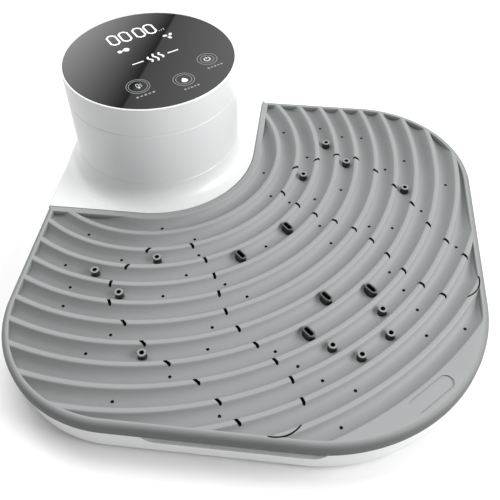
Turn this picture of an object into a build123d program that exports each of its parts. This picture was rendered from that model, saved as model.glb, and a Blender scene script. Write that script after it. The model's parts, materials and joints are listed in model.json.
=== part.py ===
from build123d import *
import math
import os

os.makedirs("parts", exist_ok=True)

# Countertop hot-air drying tray: a blower and heater in a round tower push warm air
# into a hollow tray, and out through nozzles, holes and slits in a ribbed mat.
# Millimetres, +Z up, front towards -Y. Shapes are drawn about the tower's axis and moved
# into place when they are written, so that the origin is the middle of the underside.

# ---------------------------------------------------------------- driving dimensions
# Tray outline: a square on its diagonal, each corner with its own radius.
tray_side = 324.0
front_corner_radius = 117.0
side_corner_radius = 86.0
back_margin = 7.4             # tower to each back side of the tray

# Heights above the table.
foot_height = 2.0
base_top = 26.0
crest_height = 36.0
tower_seam = 53.0             # neck of the deck to tower body
collar_seam = 98.5            # tower body to collar
glass_top = 120.9

# Walls.
wall = 2.5
base_inset = 2.6              # base side behind the mat's skirt
base_floor = 2.5
base_edge_radius = 4.0
plate_thickness = 2.2
gasket_thickness = 0.8
gasket_width = 2.0

# Mat.
skirt_thickness = 2.4
mat_edge_radius = 4.0
mat_rim = 5.0
rib_pitch = 16.0
valley_width = 12.5
valley_depth = 4.8
first_land = 0.75             # flat beside the rim, before the first valley
front_land = 12.0             # flat left at the front corner, at the least

# Deck and tower.
deck_margin = 13.4            # tower to the mat's inner edge
deck_edge_radius = 2.0
tower_radius = 64.6
flare_radius = 12.5
neck_ledge_width = 7.6
neck_ledge = 3.0
rim_width = 1.3
glass_thickness = 2.2
glass_ledge = 9.0
glass_recess = 0.3
film_thickness = 0.3           # printed film under the glass
seam_chamfer = 0.35

# Fan and heater.
fan_size = 80.0
fan_depth = 25.0
fan_corner_radius = 5.0
fan_bore_margin = 2.0         # bore to the frame's side
fan_hole_margin = 4.25        # screw to the frame's side
tip_gap = 0.9
hub_radius = 17.0
hub_wall = 1.5
shaft_radius = 1.5
bearing_radius = 4.0
bearing_length = 3.0
blade_count = 9
bracket_thickness = 3.0
heater_size = 74.0
heater_depth = 20.0
heater_wall = 3.0

# Boards.
board_thickness = 1.6
control_board_margin = 6.1    # tower bore to board
control_board_drop = 9.0      # glass underside to board
power_board_margin = 5.1      # tower bore to board
power_board_rise = 5.0        # fan top to board

# Fits.
slide_gap = 0.3               # between the lifting mat and what it lifts from
fit_gap = 0.2                 # between parts that stay put
bearing_gap = 0.04            # shaft in bearing
nozzle_gap = 0.05             # nozzle in mat

# ---------------------------------------------------------------- what follows from them
tower_setback = tower_radius + back_margin
tower_bore_radius = tower_radius - wall
deck_reach = tower_radius + deck_margin
tray_front = tray_side - tower_setback
front_reach = (tray_front - front_corner_radius) * math.sqrt(2) + front_corner_radius
tower_y = (front_reach - tower_setback) / 2

floor_top = foot_height + base_floor
plate_bottom = base_top + gasket_thickness
plate_top = plate_bottom + plate_thickness
mat_bottom = plate_top + slide_gap
plate_inset = skirt_thickness + 2 * slide_gap
groove_radius = ((valley_width / 2) ** 2 + valley_depth**2) / (2 * valley_depth)
groove_rise = groove_radius - valley_depth
first_valley_radius = deck_reach + mat_rim + first_land + valley_width / 2
last_valley_radius = front_reach - mat_rim - front_land - valley_width / 2
valley_count = 1 + int((last_valley_radius - first_valley_radius) / rib_pitch)

neck_bore_radius = tower_bore_radius - neck_ledge_width
fan_bore_radius = fan_size / 2 - fan_bore_margin
fan_hole_spacing = fan_size - 2 * fan_hole_margin
control_board_radius = tower_bore_radius - control_board_margin
power_board_radius = tower_bore_radius - power_board_margin
glass_radius = tower_radius - rim_width - fit_gap / 2
glass_bottom = glass_top - glass_thickness
collar_top = glass_top + glass_recess
bracket_top = tower_seam + bracket_thickness
fan_top = bracket_top + fan_depth
power_board_bottom = fan_top + power_board_rise
control_board_top = glass_bottom - control_board_drop
control_board_bottom = control_board_top - board_thickness

# ---------------------------------------------------------------- air pattern
# (valley number from the tower, angle from straight ahead); all but 0 are mirrored.
round_nozzles = [(2, 34.9), (3, 53.2), (4, 44.3), (7, 37.0), (9, 5.6), (10, 3.0)]
oval_nozzles = [(3, 9.2), (7, 0.0), (8, 7.5)]
air_holes = [
    (0, 33.3), (1, 20.2), (1, 64.2), (2, 20.8), (2, 47.2), (3, 0.0), (3, 26.3), (3, 63.4),
    (4, 16.9), (4, 33.2), (4, 57.9), (5, 13.4), (5, 56.7), (6, 23.2), (6, 43.9), (7, 25.1),
    (7, 47.5), (8, 14.0), (8, 32.2), (9, 12.0), (9, 40.9), (10, 10.0), (10, 25.6), (11, 7.0),
    (12, 11.5),
]
# Angle of the slit in each crest, from the second crest outwards.
outer_slit_angles = [38.0, 44.0, 47.2, 46.0, 41.5, 37.0, 32.5, 28.0, 25.4, 23.5]
inner_slit_angles = [22.4, 19.7, 18.9, 19.5, 19.6, 18.6, 16.8, 15.1, 14.2, 14.3]

nozzle_radius = 3.15
nozzle_bore = 1.6
nozzle_rise = 0.5             # above the crests
oval_width = 5.4
oval_length = 10.2
oval_bore_width = 2.9
oval_bore_length = 7.6
oval_rise = 1.5
flange_overhang = 1.6
flange_thickness = 0.8
hole_radius = 1.0
slit_length = 6.5
slit_width = 1.6
duct_margin = 0.9             # plate openings are this much larger all round

# Details of the mat.
pill_size = (36.0, 10.0)
pill_margin = 11.9            # the tray's front to the pill's middle
pill_depth = 0.8
tab_margin = 22.3             # the tray's front sides to the middle of each finger tab
tab_along = 116.0             # tower axis to the tab, along the side
tab_radius = 18.0
tab_slit = 1.0
tab_sweep = 70.0

# Details of the base.
scoop_length = 116.0
scoop_height = 11.0
scoop_depth = 6.0
scoop_middle = 92.5
foot_radius = 8.0
foot_seat = 1.0
boss_radius = 4.0
screw_radius = 1.5
screw_head_radius = 3.0
screw_head_depth = 1.4
screw_bite = 10.0
inlet_width = 22.0
inlet_height = 13.0
inlet_depth = 15.0
inlet_middle = 14.0


# ---------------------------------------------------------------- drawing helpers
def write(shape, name):
    """Move a shape from the tower's axis into the object's frame and write it."""
    export_step(Pos(0, tower_y, 0) * shape, f"parts/{name}.step")


def polar(radius, angle):
    """Point at a distance from the tower's axis, at an angle from straight ahead."""
    turn = math.radians(angle)
    return radius * math.sin(turn), -radius * math.cos(turn)


def tube(radius, bottom, top, bore=0.0):
    """Upright cylinder about the tower's axis, with an optional bore."""
    solid = Pos(0, 0, bottom) * Cylinder(radius, top - bottom, align=low)
    if bore > 0:
        solid -= Pos(0, 0, bottom - 1) * Cylinder(bore, top - bottom + 2, align=low)
    return solid


def prism(face, bottom, top):
    """Upright prism of a flat face."""
    return extrude(Pos(0, 0, bottom) * face, top - bottom, dir=(0, 0, 1))


def square(back, front, radii):
    """Square on its diagonal, from -back to front on both its axes, with rounded corners.

    The radii go round from the back corner: back, side, front, side.
    """
    signs = [(-1, -1), (1, -1), (1, 1), (-1, 1)]
    ends = []
    edges = []
    for number, ((along, across), radius) in enumerate(zip(signs, radii)):
        x = (front - radius) if along > 0 else (radius - back)
        y = (front - radius) if across > 0 else (radius - back)
        start = math.radians(180 + 90 * number)
        ends.append((x + radius * math.cos(start), y + radius * math.sin(start)))
        ends.append((x - radius * math.sin(start), y + radius * math.cos(start)))
        if radius > 0:
            edges.append(CenterArc((x, y), radius, 180 + 90 * number, 90))
    for number in range(4):
        edges.append(Line(ends[2 * number + 1], ends[(2 * number + 2) % 8]))
    return Rot(0, 0, -135) * make_face(Wire(edges))


def outline(inset):
    """Tray outline, moved in all round by the inset."""
    radii = [tower_setback, side_corner_radius, front_corner_radius, side_corner_radius]
    return square(tower_setback - inset, tray_front - inset, [r - inset for r in radii])


def deck_area(gap):
    """Corner of the tray that the mat leaves free, moved out by the gap."""
    reach = deck_reach + gap
    return square(2 * tower_setback, reach, [0, 0, reach, 0])


def tray_place(along, across):
    """Point given on the tray's two diagonal axes; (1, 1) is straight ahead."""
    return (along - across) / math.sqrt(2), -(along + across) / math.sqrt(2)


def tray_axes(point):
    """A point's distances from the tower's axis along the tray's two diagonal axes."""
    return (point.X - point.Y) / math.sqrt(2), -(point.X + point.Y) / math.sqrt(2)


def mirrored(pattern):
    """Yield each (number, angle) on both sides, and those at 0 once."""
    for number, angle in pattern:
        for side in ([1] if angle == 0 else [-1, 1]):
            yield number, side * angle


def valley_radius(number):
    """Distance from the tower's axis to the middle of a valley."""
    return first_valley_radius + rib_pitch * number


def in_valleys(pattern):
    """Places of a pattern of (valley, angle) pairs, in the valleys that the tray has."""
    return [
        polar(valley_radius(number), angle)
        for number, angle in mirrored(pattern)
        if number < valley_count
    ]


def slit_places():
    """Place and direction of each slit: on a crest, in line with its neighbours."""
    places = []
    for angles in (outer_slit_angles, inner_slit_angles):
        angles = angles[: valley_count - 2]
        path = [polar(valley_radius(n + 1.5), angle) for n, angle in enumerate(angles)]
        for number, (x, y) in enumerate(path):
            before = path[max(number - 1, 0)]
            after = path[min(number + 1, len(path) - 1)]
            turn = math.degrees(math.atan2(after[1] - before[1], after[0] - before[0]))
            places.append((x, y, turn))
            places.append((-x, y, 180 - turn))
    return places


def slit_tools(length, width, bottom, top):
    """Upright slot at each slit place."""
    return [
        Pos(x, y, bottom) * Rot(0, 0, turn) * Box(length, width, top - bottom, align=low)
        for x, y, turn in slit_places()
    ]


def hole_tools(places, radius, bottom, top):
    """Upright cylinder at each place."""
    return [
        Pos(x, y, bottom) * Cylinder(radius, top - bottom, align=low) for x, y in places
    ]


def oval_tools(places, length, width, bottom, top):
    """Upright oval with its length fore and aft at each place."""
    shape = Rot(0, 0, 90) * SlotOverall(length, width)
    return [prism(Pos(x, y, 0) * shape, bottom, top) for x, y in places]


low = (Align.CENTER, Align.CENTER, Align.MIN)

screw_places = [
    tray_place(tray_front - 41, 41 - tower_setback),
    tray_place(41 - tower_setback, tray_front - 41),
    tray_place(tray_front - 20, 120), tray_place(120, tray_front - 20),
    tray_place(tray_front - 62, tray_front - 62),
    polar(tower_setback - 11, 130), polar(tower_setback - 11, -130),
]
foot_places = [
    tray_place(tray_front - 57, 57 - tower_setback),
    tray_place(57 - tower_setback, tray_front - 57),
    tray_place(tray_front - 27, 150), tray_place(150, tray_front - 27),
    polar(tower_setback - 13, 152), polar(tower_setback - 13, -152),
]
tower_screw_angles = [65, 115, -65, -115]
tower_screw_circle = (tower_bore_radius + neck_bore_radius) / 2


# ---------------------------------------------------------------- base
def scoop_shape(margin):
    """Half-slot under the tray's edge, at a front side, pushed in from outside."""
    depth = base_inset + scoop_depth + margin
    slot = SlotOverall(scoop_length + 2 * margin, 2 * (scoop_height + margin))
    return extrude(Plane.YZ * slot, depth, dir=(-1, 0, 0))


def scoops(margin):
    """The two finger scoops, one in each front side."""
    shape = scoop_shape(margin)
    place = Pos(tray_front, scoop_middle, base_top)
    left = Rot(0, 0, -135) * place * shape
    return [left, mirror(left, Plane.YZ)]


def base_shell():
    """Lower shell: an open tub with finger scoops, foot seats and screw holes."""
    outer = prism(outline(base_inset), foot_height, base_top)
    outer = fillet(outer.faces().sort_by(Axis.Z)[0].edges(), base_edge_radius)
    shell = outer - prism(outline(base_inset + wall), floor_top, base_top + 1)
    for liner in scoops(wall):
        shell += liner & outer
    for scoop in scoops(0):
        shell -= scoop
    back = tower_setback - base_inset
    shell -= Pos(0, back, inlet_middle) * Box(inlet_width, 4 * wall, inlet_height)
    tools = hole_tools(foot_places, foot_radius, foot_height - 1, foot_height + foot_seat)
    tools += hole_tools(screw_places, screw_radius + fit_gap, 0, floor_top + 1)
    head = screw_head_radius + fit_gap
    tools += hole_tools(screw_places, head, 0, foot_height + screw_head_depth)
    return shell - tools


def rubber_feet():
    """Round feet seated in the underside."""
    feet = hole_tools(foot_places, foot_radius, 0, foot_height + foot_seat)
    return Compound([chamfer(foot.edges().sort_by(Axis.Z)[:1], 0.5) for foot in feet])


def base_screws():
    """Screws that hold the base to the deck."""
    seat = foot_height + screw_head_depth
    screws = []
    for x, y in screw_places:
        head = Pos(x, y, foot_height) * Cylinder(screw_head_radius, screw_head_depth, align=low)
        shank = Cylinder(screw_radius, base_floor - screw_head_depth + screw_bite, align=low)
        screw = head + Pos(x, y, seat) * shank
        screws.append(screw - Pos(x, y, foot_height) * Box(3.2, 0.7, 1.4))
    return Compound(screws)


def plenum_gasket():
    """Flat seal between the base's rim and the deck."""
    middle = base_inset + wall / 2
    ring = outline(middle - gasket_width / 2) - outline(middle + gasket_width / 2)
    return prism(ring, base_top, plate_bottom)


# ---------------------------------------------------------------- deck
def flare():
    """Neck that carries the tower: a concave sweep up from the deck, with a ledge inside."""
    centre = (tower_radius + flare_radius, crest_height + flare_radius)
    inner = flare_radius + wall
    corner = math.sqrt(0.5)
    outside = ThreePointArc(
        (centre[0], crest_height),
        (centre[0] - flare_radius * corner, centre[1] - flare_radius * corner),
        (tower_radius, centre[1]),
    )
    inside = ThreePointArc(
        (tower_bore_radius, centre[1]),
        (centre[0] - inner * corner, centre[1] - inner * corner),
        (centre[0], crest_height - wall),
    )
    top = Polyline(
        (tower_radius, centre[1]),
        (tower_radius, tower_seam - seam_chamfer),
        (tower_radius - seam_chamfer, tower_seam),
        (neck_bore_radius, tower_seam),
        (neck_bore_radius, tower_seam - neck_ledge),
        (tower_bore_radius, tower_seam - neck_ledge),
        (tower_bore_radius, centre[1]),
    )
    end = Line((centre[0], crest_height - wall), (centre[0], crest_height))
    profile = make_face(Plane.XZ * Wire([outside, *top.edges(), inside, end]))
    return revolve(profile, Axis.Z)


def on_back_edge(point):
    """True for a point on the top edge of the deck's outer sides."""
    along, across = tray_axes(point)
    behind = point.Y > 0 and math.hypot(point.X, point.Y) > tower_setback - fit_gap
    outside = min(along, across) < fit_gap - tower_setback
    return point.Z > crest_height - fit_gap and (behind or outside)


def deck_block():
    """Raised corner of the deck, hollow below, with the neck on it."""
    lip = prism(outline(base_inset - fit_gap), base_top - 1, plate_bottom)
    block = prism(outline(0) & deck_area(-slide_gap), base_top, crest_height) - lip
    hollow = outline(base_inset + wall) & deck_area(-slide_gap - wall)
    block -= prism(hollow, base_top, crest_height - wall)
    block -= tube(tower_radius + flare_radius, crest_height - wall, crest_height + 1)
    block += flare() & prism(outline(0), base_top, tower_seam + 1)
    return fillet([edge for edge in block.edges() if on_back_edge(edge @ 0.5)], deck_edge_radius)


def deck_shell():
    """Upper shell: the plate under the mat, pierced for air, and the raised deck."""
    plate = prism(outline(plate_inset), plate_bottom, plate_top)
    plate -= prism(deck_area(-slide_gap - wall / 2), plate_bottom - 1, plate_top + 1)
    shell = plate + deck_block()
    shell += hole_tools(screw_places[:-2], boss_radius, floor_top, plate_top)
    shell += hole_tools(screw_places[-2:], boss_radius, floor_top, tower_seam - neck_ledge / 2)
    tools = hole_tools(screw_places, screw_radius, floor_top - 1, floor_top + screw_bite + 1)
    margin = duct_margin
    bottom = plate_bottom - 1
    top = plate_top + 1
    tools += hole_tools(in_valleys(air_holes), hole_radius + margin, bottom, top)
    tools += hole_tools(in_valleys(round_nozzles), nozzle_bore + margin, bottom, top)
    slot = (oval_bore_length + 2 * margin, oval_bore_width + 2 * margin)
    tools += oval_tools(in_valleys(oval_nozzles), *slot, bottom, top)
    tools += slit_tools(slit_length + 2 * margin, slit_width + 2 * margin, bottom, top)
    for angle in tower_screw_angles:
        x, y = polar(tower_screw_circle, angle)
        tools.append(Pos(x, y, tower_seam - 2 * neck_ledge) * Cylinder(screw_radius + fit_gap, 20))
    return shell - tools


# ---------------------------------------------------------------- mat and nozzles
def grooves():
    """Ring-shaped valleys about the tower's axis, stopped at the mat's raised rim."""
    height = crest_height + groove_rise
    rings = [
        Pos(0, 0, height) * Torus(valley_radius(n), groove_radius) for n in range(valley_count)
    ]
    area = outline(mat_rim) - deck_area(mat_rim)
    return Compound(rings) & prism(area, mat_bottom, crest_height + 1)


def tab_slits():
    """Curved slits that free the two finger tabs at the front."""
    x, y = tray_place(tray_front - tab_margin, tab_along)
    middle = math.degrees(math.atan2(y, x))
    path = CenterArc((x, y), tab_radius, middle - tab_sweep / 2, tab_sweep)
    right = prism(trace(path, tab_slit), mat_bottom - 1, crest_height + 1)
    return [right, mirror(right, Plane.YZ)]


def ribbed_mat():
    """Soft mat: concentric ribs inside a rim, and a skirt round the tray's edge."""
    slab = prism(outline(0), base_top, crest_height)
    slab = fillet(slab.faces().sort_by(Axis.Z)[-1].edges(), mat_edge_radius)
    slab -= prism(deck_area(0), base_top - 1, crest_height + 1)
    slab -= prism(outline(skirt_thickness), base_top - 1, mat_bottom)
    slab -= grooves()
    top = crest_height + 1
    bottom = mat_bottom - 1
    seat = mat_bottom + flange_thickness
    rounds = in_valleys(round_nozzles)
    ovals = in_valleys(oval_nozzles)
    gap = nozzle_gap
    tools = hole_tools(rounds, nozzle_radius + gap, bottom, top)
    tools += hole_tools(rounds, nozzle_radius + flange_overhang + gap, bottom, seat + gap)
    tools += oval_tools(ovals, oval_length + 2 * gap, oval_width + 2 * gap, bottom, top)
    wide = 2 * (flange_overhang + gap)
    tools += oval_tools(ovals, oval_length + wide, oval_width + wide, bottom, seat + gap)
    tools += hole_tools(in_valleys(air_holes), hole_radius, bottom, top)
    tools += slit_tools(slit_length, slit_width, bottom, top)
    tools += tab_slits()
    pill = Pos(0, pill_margin - front_reach) * SlotOverall(*pill_size)
    tools.append(prism(pill, crest_height - pill_depth, top))
    return slab - tools


def round_nozzle(x, y):
    """Round nozzle with a flange under the mat."""
    top = crest_height + nozzle_rise
    body = Cylinder(nozzle_radius, top - mat_bottom, align=low)
    body = fillet(body.edges().sort_by(Axis.Z)[-1], 0.5)
    body += Cylinder(nozzle_radius + flange_overhang, flange_thickness, align=low)
    return Pos(x, y, mat_bottom) * (body - Cylinder(nozzle_bore, 60))


def oval_nozzle(x, y):
    """Oval nozzle with a flange under the mat."""
    top = crest_height + oval_rise
    turn = Rot(0, 0, 90)
    body = extrude(turn * SlotOverall(oval_length, oval_width), top - mat_bottom)
    body = fillet(body.faces().sort_by(Axis.Z)[-1].edges(), 0.5)
    wide = 2 * flange_overhang
    body += extrude(turn * SlotOverall(oval_length + wide, oval_width + wide), flange_thickness)
    bore = extrude(turn * SlotOverall(oval_bore_length, oval_bore_width), 60, both=True)
    return Pos(x, y, mat_bottom) * (body - bore)


# ---------------------------------------------------------------- tower
slot_pitch = 5.0              # degrees between intake slots
slot_count = 17
slot_width = 2.6
slot_bottom = bracket_top + 14.0
slot_top = collar_seam - 6.0
boss_height = 12.0
filter_thickness = 1.0
filter_spread = 94.0          # degrees


def tower_body():
    """Round housing round the fan, with intake slots at the back and screw bosses inside."""
    body = tube(tower_radius, tower_seam, collar_seam)
    rims = [edge for edge in body.edges().filter_by(GeomType.CIRCLE)]
    body = chamfer(rims, seam_chamfer) - tube(tower_bore_radius, 0, 2 * collar_seam)
    shapes = []
    for angle in tower_screw_angles:
        x, y = polar(tower_screw_circle, angle)
        boss = Pos(x, y, bracket_top) * Cylinder(boss_radius, boss_height, align=low)
        shapes.append(boss & tube(tower_radius - wall / 2, 0, 2 * collar_seam))
    body += shapes
    tools = []
    for angle in tower_screw_angles:
        x, y = polar(tower_screw_circle, angle)
        tools.append(Pos(x, y, bracket_top - 1) * Cylinder(screw_radius, boss_height - 1, align=low))
    height = slot_top - slot_bottom
    slot = Plane.XZ * SlotOverall(height, slot_width, rotation=90)
    cutter = extrude(slot, tower_radius + 5, dir=(0, 1, 0))
    for number in range(slot_count):
        turn = (number - (slot_count - 1) / 2) * slot_pitch
        tools.append(Rot(0, 0, turn) * Pos(0, 0, (slot_top + slot_bottom) / 2) * cutter)
    return body - tools


def intake_filter():
    """Fine mesh sheet behind the intake slots."""
    outer = tower_bore_radius - fit_gap / 2
    sheet = tube(outer, slot_bottom - 3, slot_top + 1.2, outer - filter_thickness)
    half = filter_spread / 2
    wedge = Polyline(
        (0, 0),
        (-90 * math.tan(math.radians(half)), 90),
        (90 * math.tan(math.radians(half)), 90),
        (0, 0),
    )
    return sheet & prism(make_face(wedge), 0, 2 * collar_seam)


def tower_collar():
    """Top ring that holds the glass, with a skirt inside the tower and board posts."""
    collar = tube(tower_radius, collar_seam, collar_top)
    rims = collar.edges().filter_by(GeomType.CIRCLE).sort_by(Axis.Z)
    collar = chamfer(rims[0], seam_chamfer)
    collar = fillet(collar.edges().filter_by(GeomType.CIRCLE).sort_by(Axis.Z)[-1], 0.5)
    collar -= tube(glass_radius + fit_gap / 2, glass_bottom, collar_top + 1)
    collar -= tube(tower_bore_radius, collar_seam - 1, glass_bottom - wall)
    collar -= tube(glass_radius - glass_ledge, collar_seam - 1, collar_top)
    outer = tower_bore_radius - fit_gap / 2
    skirt = tube(outer, collar_seam - 4, collar_seam + 4, outer - 1.5)
    join = tube(tower_radius - 1, collar_seam + 1, collar_seam + 4, outer - 1.5)
    collar += [skirt, join]
    for x, y in board_posts:
        post = Pos(x, y, control_board_top) * Cylinder(3.2, glass_bottom - control_board_top - 1, align=low)
        hole = Pos(x, y, control_board_top - 1) * Cylinder(1.0, 6, align=low)
        arm = Pos(x, y, glass_bottom - wall) * Cylinder(post_arm_radius, wall, align=low)
        collar += post + (arm & tube(tower_radius - 1, 0, 200))
        collar -= hole
    return collar


board_posts = [polar(control_board_radius - 4, angle) for angle in (0, 90, 180, 270)]
post_arm_radius = 6.4


def panel_glass():
    """Round dark glass over the controls."""
    glass = tube(glass_radius, glass_bottom, glass_top)
    return chamfer(glass.edges().filter_by(GeomType.CIRCLE).sort_by(Axis.Z)[-1], 0.3)


def icon_film():
    """Film under the glass that carries the printed marks, cut clear of the collar's arms."""
    film = tube(glass_radius - glass_ledge - fit_gap, glass_bottom - film_thickness, glass_bottom)
    arms = [Pos(x, y, glass_bottom) * Cylinder(post_arm_radius + fit_gap, 4) for x, y in board_posts]
    return film - arms


def control_board():
    """Round board under the glass, with its chips."""
    board = tube(control_board_radius, control_board_bottom, control_board_top)
    board -= [Pos(x, y, control_board_bottom) * Cylinder(1.2, 10) for x, y in board_posts]
    return board


# Places on the glass, from the tower's axis: the digits, and the three touch marks.
display_place = (6.0, 34.5)
display_size = (46.0, 19.0)
touch_places = [(-26.0, -26.0), (3.0, -38.0), (31.0, -27.0)]


def digit_display():
    """Four-digit lamp block on the board."""
    x, y = display_place
    height = control_board_drop - film_thickness - 0.3
    block = Pos(x, y, control_board_top) * Box(*display_size, height, align=low)
    return chamfer(block.faces().sort_by(Axis.Z)[-1].edges(), 0.6)


def touch_pads():
    """Conductive pads between board and glass, one under each touch mark."""
    pads = []
    for x, y in touch_places:
        pad = Cylinder(5.0, control_board_drop - film_thickness, align=low) - Cylinder(2.2, 40)
        pads.append(Pos(x, y, control_board_top) * pad)
    return Compound(pads)


def control_chips():
    """Chips and lamps under the control board."""
    chips = []
    for x, y, length, width, height in [(0, 0, 12, 12, 1.8), (18, 12, 6, 4, 1.4), (-20, 14, 8, 8, 4.5)]:
        chip = Box(length, width, height, align=(Align.CENTER, Align.CENTER, Align.MAX))
        chips.append(Pos(x, y, control_board_bottom) * chip)
    return Compound(chips)


def board_screws():
    """Screws that hold the control board to the collar's posts."""
    screws = []
    for x, y in board_posts:
        head = Pos(x, y, control_board_bottom - 1.5) * Cylinder(2.2, 1.5, align=low)
        shank = Pos(x, y, control_board_bottom) * Cylinder(0.95, board_thickness + 5, align=low)
        screws.append(head + shank)
    return Compound(screws)


# ---------------------------------------------------------------- fan
post_angles = [90, -90, 0]
post_circle = fan_size / 2 + 12.0
post_radius = 3.5
motor_tube_radius = bearing_radius + 1.2
strut_depth = 3.0
rotor_bottom = bracket_top + strut_depth + 1.0
rotor_top = fan_top - 1.0


def fan_bracket():
    """Round shelf in the tower that carries the fan, the heater and the power board."""
    radius = tower_bore_radius - fit_gap
    shelf = tube(radius, tower_seam, bracket_top, fan_bore_radius)
    for angle in post_angles:
        x, y = polar(post_circle, angle)
        height = power_board_bottom - tower_seam
        shelf += Pos(x, y, tower_seam) * Cylinder(post_radius, height, align=low)
        shelf -= Pos(x, y, power_board_bottom - 8) * Cylinder(1.0, 9, align=low)
    lead_hole = SlotOverall(pin_spacing + 6, 5)
    shelf -= prism(Pos(0, lead_circle) * lead_hole, tower_seam - 1, bracket_top + 1)
    for angle in tower_screw_angles:
        x, y = polar(tower_screw_circle, angle)
        shelf -= Pos(x, y, tower_seam) * Cylinder(screw_radius + fit_gap, 20)
    spots = [(x, y) for x in (-1, 1) for y in (-1, 1)]
    for x, y in spots:
        half = fan_hole_spacing / 2
        shelf -= Pos(x * half, y * half, tower_seam) * Cylinder(screw_radius, 20)
    return shelf


def tower_screws():
    """Screws up through the neck and the bracket into the tower's bosses."""
    screws = []
    bottom = tower_seam - neck_ledge
    for angle in tower_screw_angles:
        x, y = polar(tower_screw_circle, angle)
        head = Pos(x, y, bottom - 1.8) * Cylinder(2.8, 1.8, align=low)
        length = neck_ledge + bracket_thickness + boss_height - 3
        screws.append(head + Pos(x, y, bottom) * Cylinder(screw_radius, length, align=low))
    return Compound(screws)


def fan_frame():
    """Square fan housing with a round bore, four struts and the motor's bearing tube."""
    body = extrude(RectangleRounded(fan_size, fan_size, fan_corner_radius), fan_depth)
    body -= Cylinder(fan_bore_radius, 4 * fan_depth)
    relief = Pos(0, 0, fan_depth / 2) * Box(fan_size + 2, fan_size + 2, fan_depth - 8)
    relief -= Pos(0, 0, fan_depth / 2) * Cylinder(fan_bore_radius + 1.5, fan_depth)
    body -= relief
    strut = Box(2 * fan_bore_radius + 1, 3.0, strut_depth, align=low)
    strut += Rot(0, 0, 90) * strut
    body += strut
    body += Cylinder(hub_radius, strut_depth, align=low)
    tube_height = rotor_top - hub_wall - 1.0 - bracket_top
    body += Cylinder(motor_tube_radius, tube_height, align=low)
    body -= Pos(0, 0, 1.0) * Cylinder(bearing_radius, fan_depth, align=low)
    half = fan_hole_spacing / 2
    for x in (-half, half):
        for y in (-half, half):
            body -= Pos(x, y, 0) * Cylinder(screw_radius + fit_gap, 4 * fan_depth)
    return Pos(0, 0, bracket_top) * body


def bearing_levels():
    """Underside of each of the two bearings."""
    tube_height = rotor_top - hub_wall - 1.0
    return bracket_top + 1.0, tube_height - bearing_length


def fan_bearings():
    """Two small ball bearings in the motor's tube."""
    rings = []
    for level in bearing_levels():
        ring = tube(bearing_radius, level, level + bearing_length, shaft_radius + bearing_gap)
        rings.append(ring)
    return Compound(rings)


def fan_stator():
    """Wound core round the bearing tube."""
    bottom = rotor_bottom + 1.0
    top = rotor_top - hub_wall - 2.5
    inner = motor_tube_radius
    outer = hub_radius - hub_wall - 1.6
    core = tube(inner + 2.0, bottom, top, inner)
    for number in range(6):
        arm = Box(outer - inner, 2.4, top - bottom - 6, align=(Align.MIN, Align.CENTER, Align.MIN))
        core += Rot(0, 0, 60 * number) * Pos(inner, 0, bottom + 3) * arm
    cap = tube(outer, bottom + 3, top - 3, outer - 1.2)
    for number in range(6):
        cap -= Rot(0, 0, 60 * number + 30) * Pos(outer, 0, 0) * Box(8, 2.0, 4 * top)
    core += cap
    for number in range(6):
        coil = Pos((inner + outer) / 2, 0, (bottom + top) / 2) * Box(2.8, 4.2, top - bottom - 3)
        core += Rot(0, 0, 60 * number) * coil
    return core


def fan_shaft():
    """Steel shaft pressed into the rotor's hub."""
    bottom = bracket_top + 1.2
    return tube(shaft_radius, bottom, rotor_top - hub_wall)


def fan_rotor():
    """Hub cup over the motor, with pitched blades."""
    cup = tube(hub_radius, rotor_bottom, rotor_top)
    cup = fillet(cup.edges().filter_by(GeomType.CIRCLE).sort_by(Axis.Z)[-1], 1.0)
    cup -= tube(hub_radius - hub_wall, rotor_bottom - 1, rotor_top - hub_wall)
    tip = fan_bore_radius - tip_gap
    height = rotor_top - rotor_bottom
    length = tip - hub_radius + 0.8
    blade = Box(length, 1.5, height * 1.3, align=(Align.MIN, Align.CENTER, Align.CENTER))
    blade = Pos(hub_radius - 0.8, 0, 0) * Rot(-48, 0, 0) * blade
    middle = (rotor_top + rotor_bottom) / 2
    shape = Pos(0, 0, middle) * blade
    shape &= tube(tip, rotor_bottom + 0.5, rotor_top - 1.0, hub_radius - 0.8)
    cup += [Rot(0, 0, number * 360 / blade_count) * shape for number in range(blade_count)]
    return cup


def fan_magnet():
    """Ring magnet inside the rotor's cup."""
    outer = hub_radius - hub_wall
    return tube(outer, rotor_bottom + 1.0, rotor_top - hub_wall - 3.0, outer - 1.0)


def fan_screws():
    """Long screws through the fan's corners into the bracket."""
    half = fan_hole_spacing / 2
    screws = []
    for x in (-half, half):
        for y in (-half, half):
            head = Pos(x, y, fan_top) * Cylinder(2.8, 1.8, align=low)
            shank = Pos(x, y, tower_seam) * Cylinder(screw_radius - 0.05, fan_top - tower_seam, align=low)
            screws.append(head + shank)
    return Compound(screws)


# ---------------------------------------------------------------- heater
heater_top = tower_seam - neck_ledge - 2.0
heater_bottom = heater_top - heater_depth
heater_bar_count = 3


def heater_frame():
    """Heat-proof frame round the element, hung from the bracket by four legs."""
    half = heater_size / 2
    frame = Pos(0, 0, heater_bottom) * extrude(RectangleRounded(heater_size, heater_size, 4), heater_depth)
    inner = heater_size - 2 * heater_wall
    frame -= Pos(0, 0, heater_bottom - 1) * extrude(Rectangle(inner, inner), heater_depth + 2)
    leg_height = tower_seam - heater_top
    for x in (-1, 1):
        for y in (-1, 1):
            place = Pos(x * (half - 4), y * (half - 4), heater_top - 1)
            frame += place * Box(6, 6, leg_height + 1, align=low)
    return frame


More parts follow.
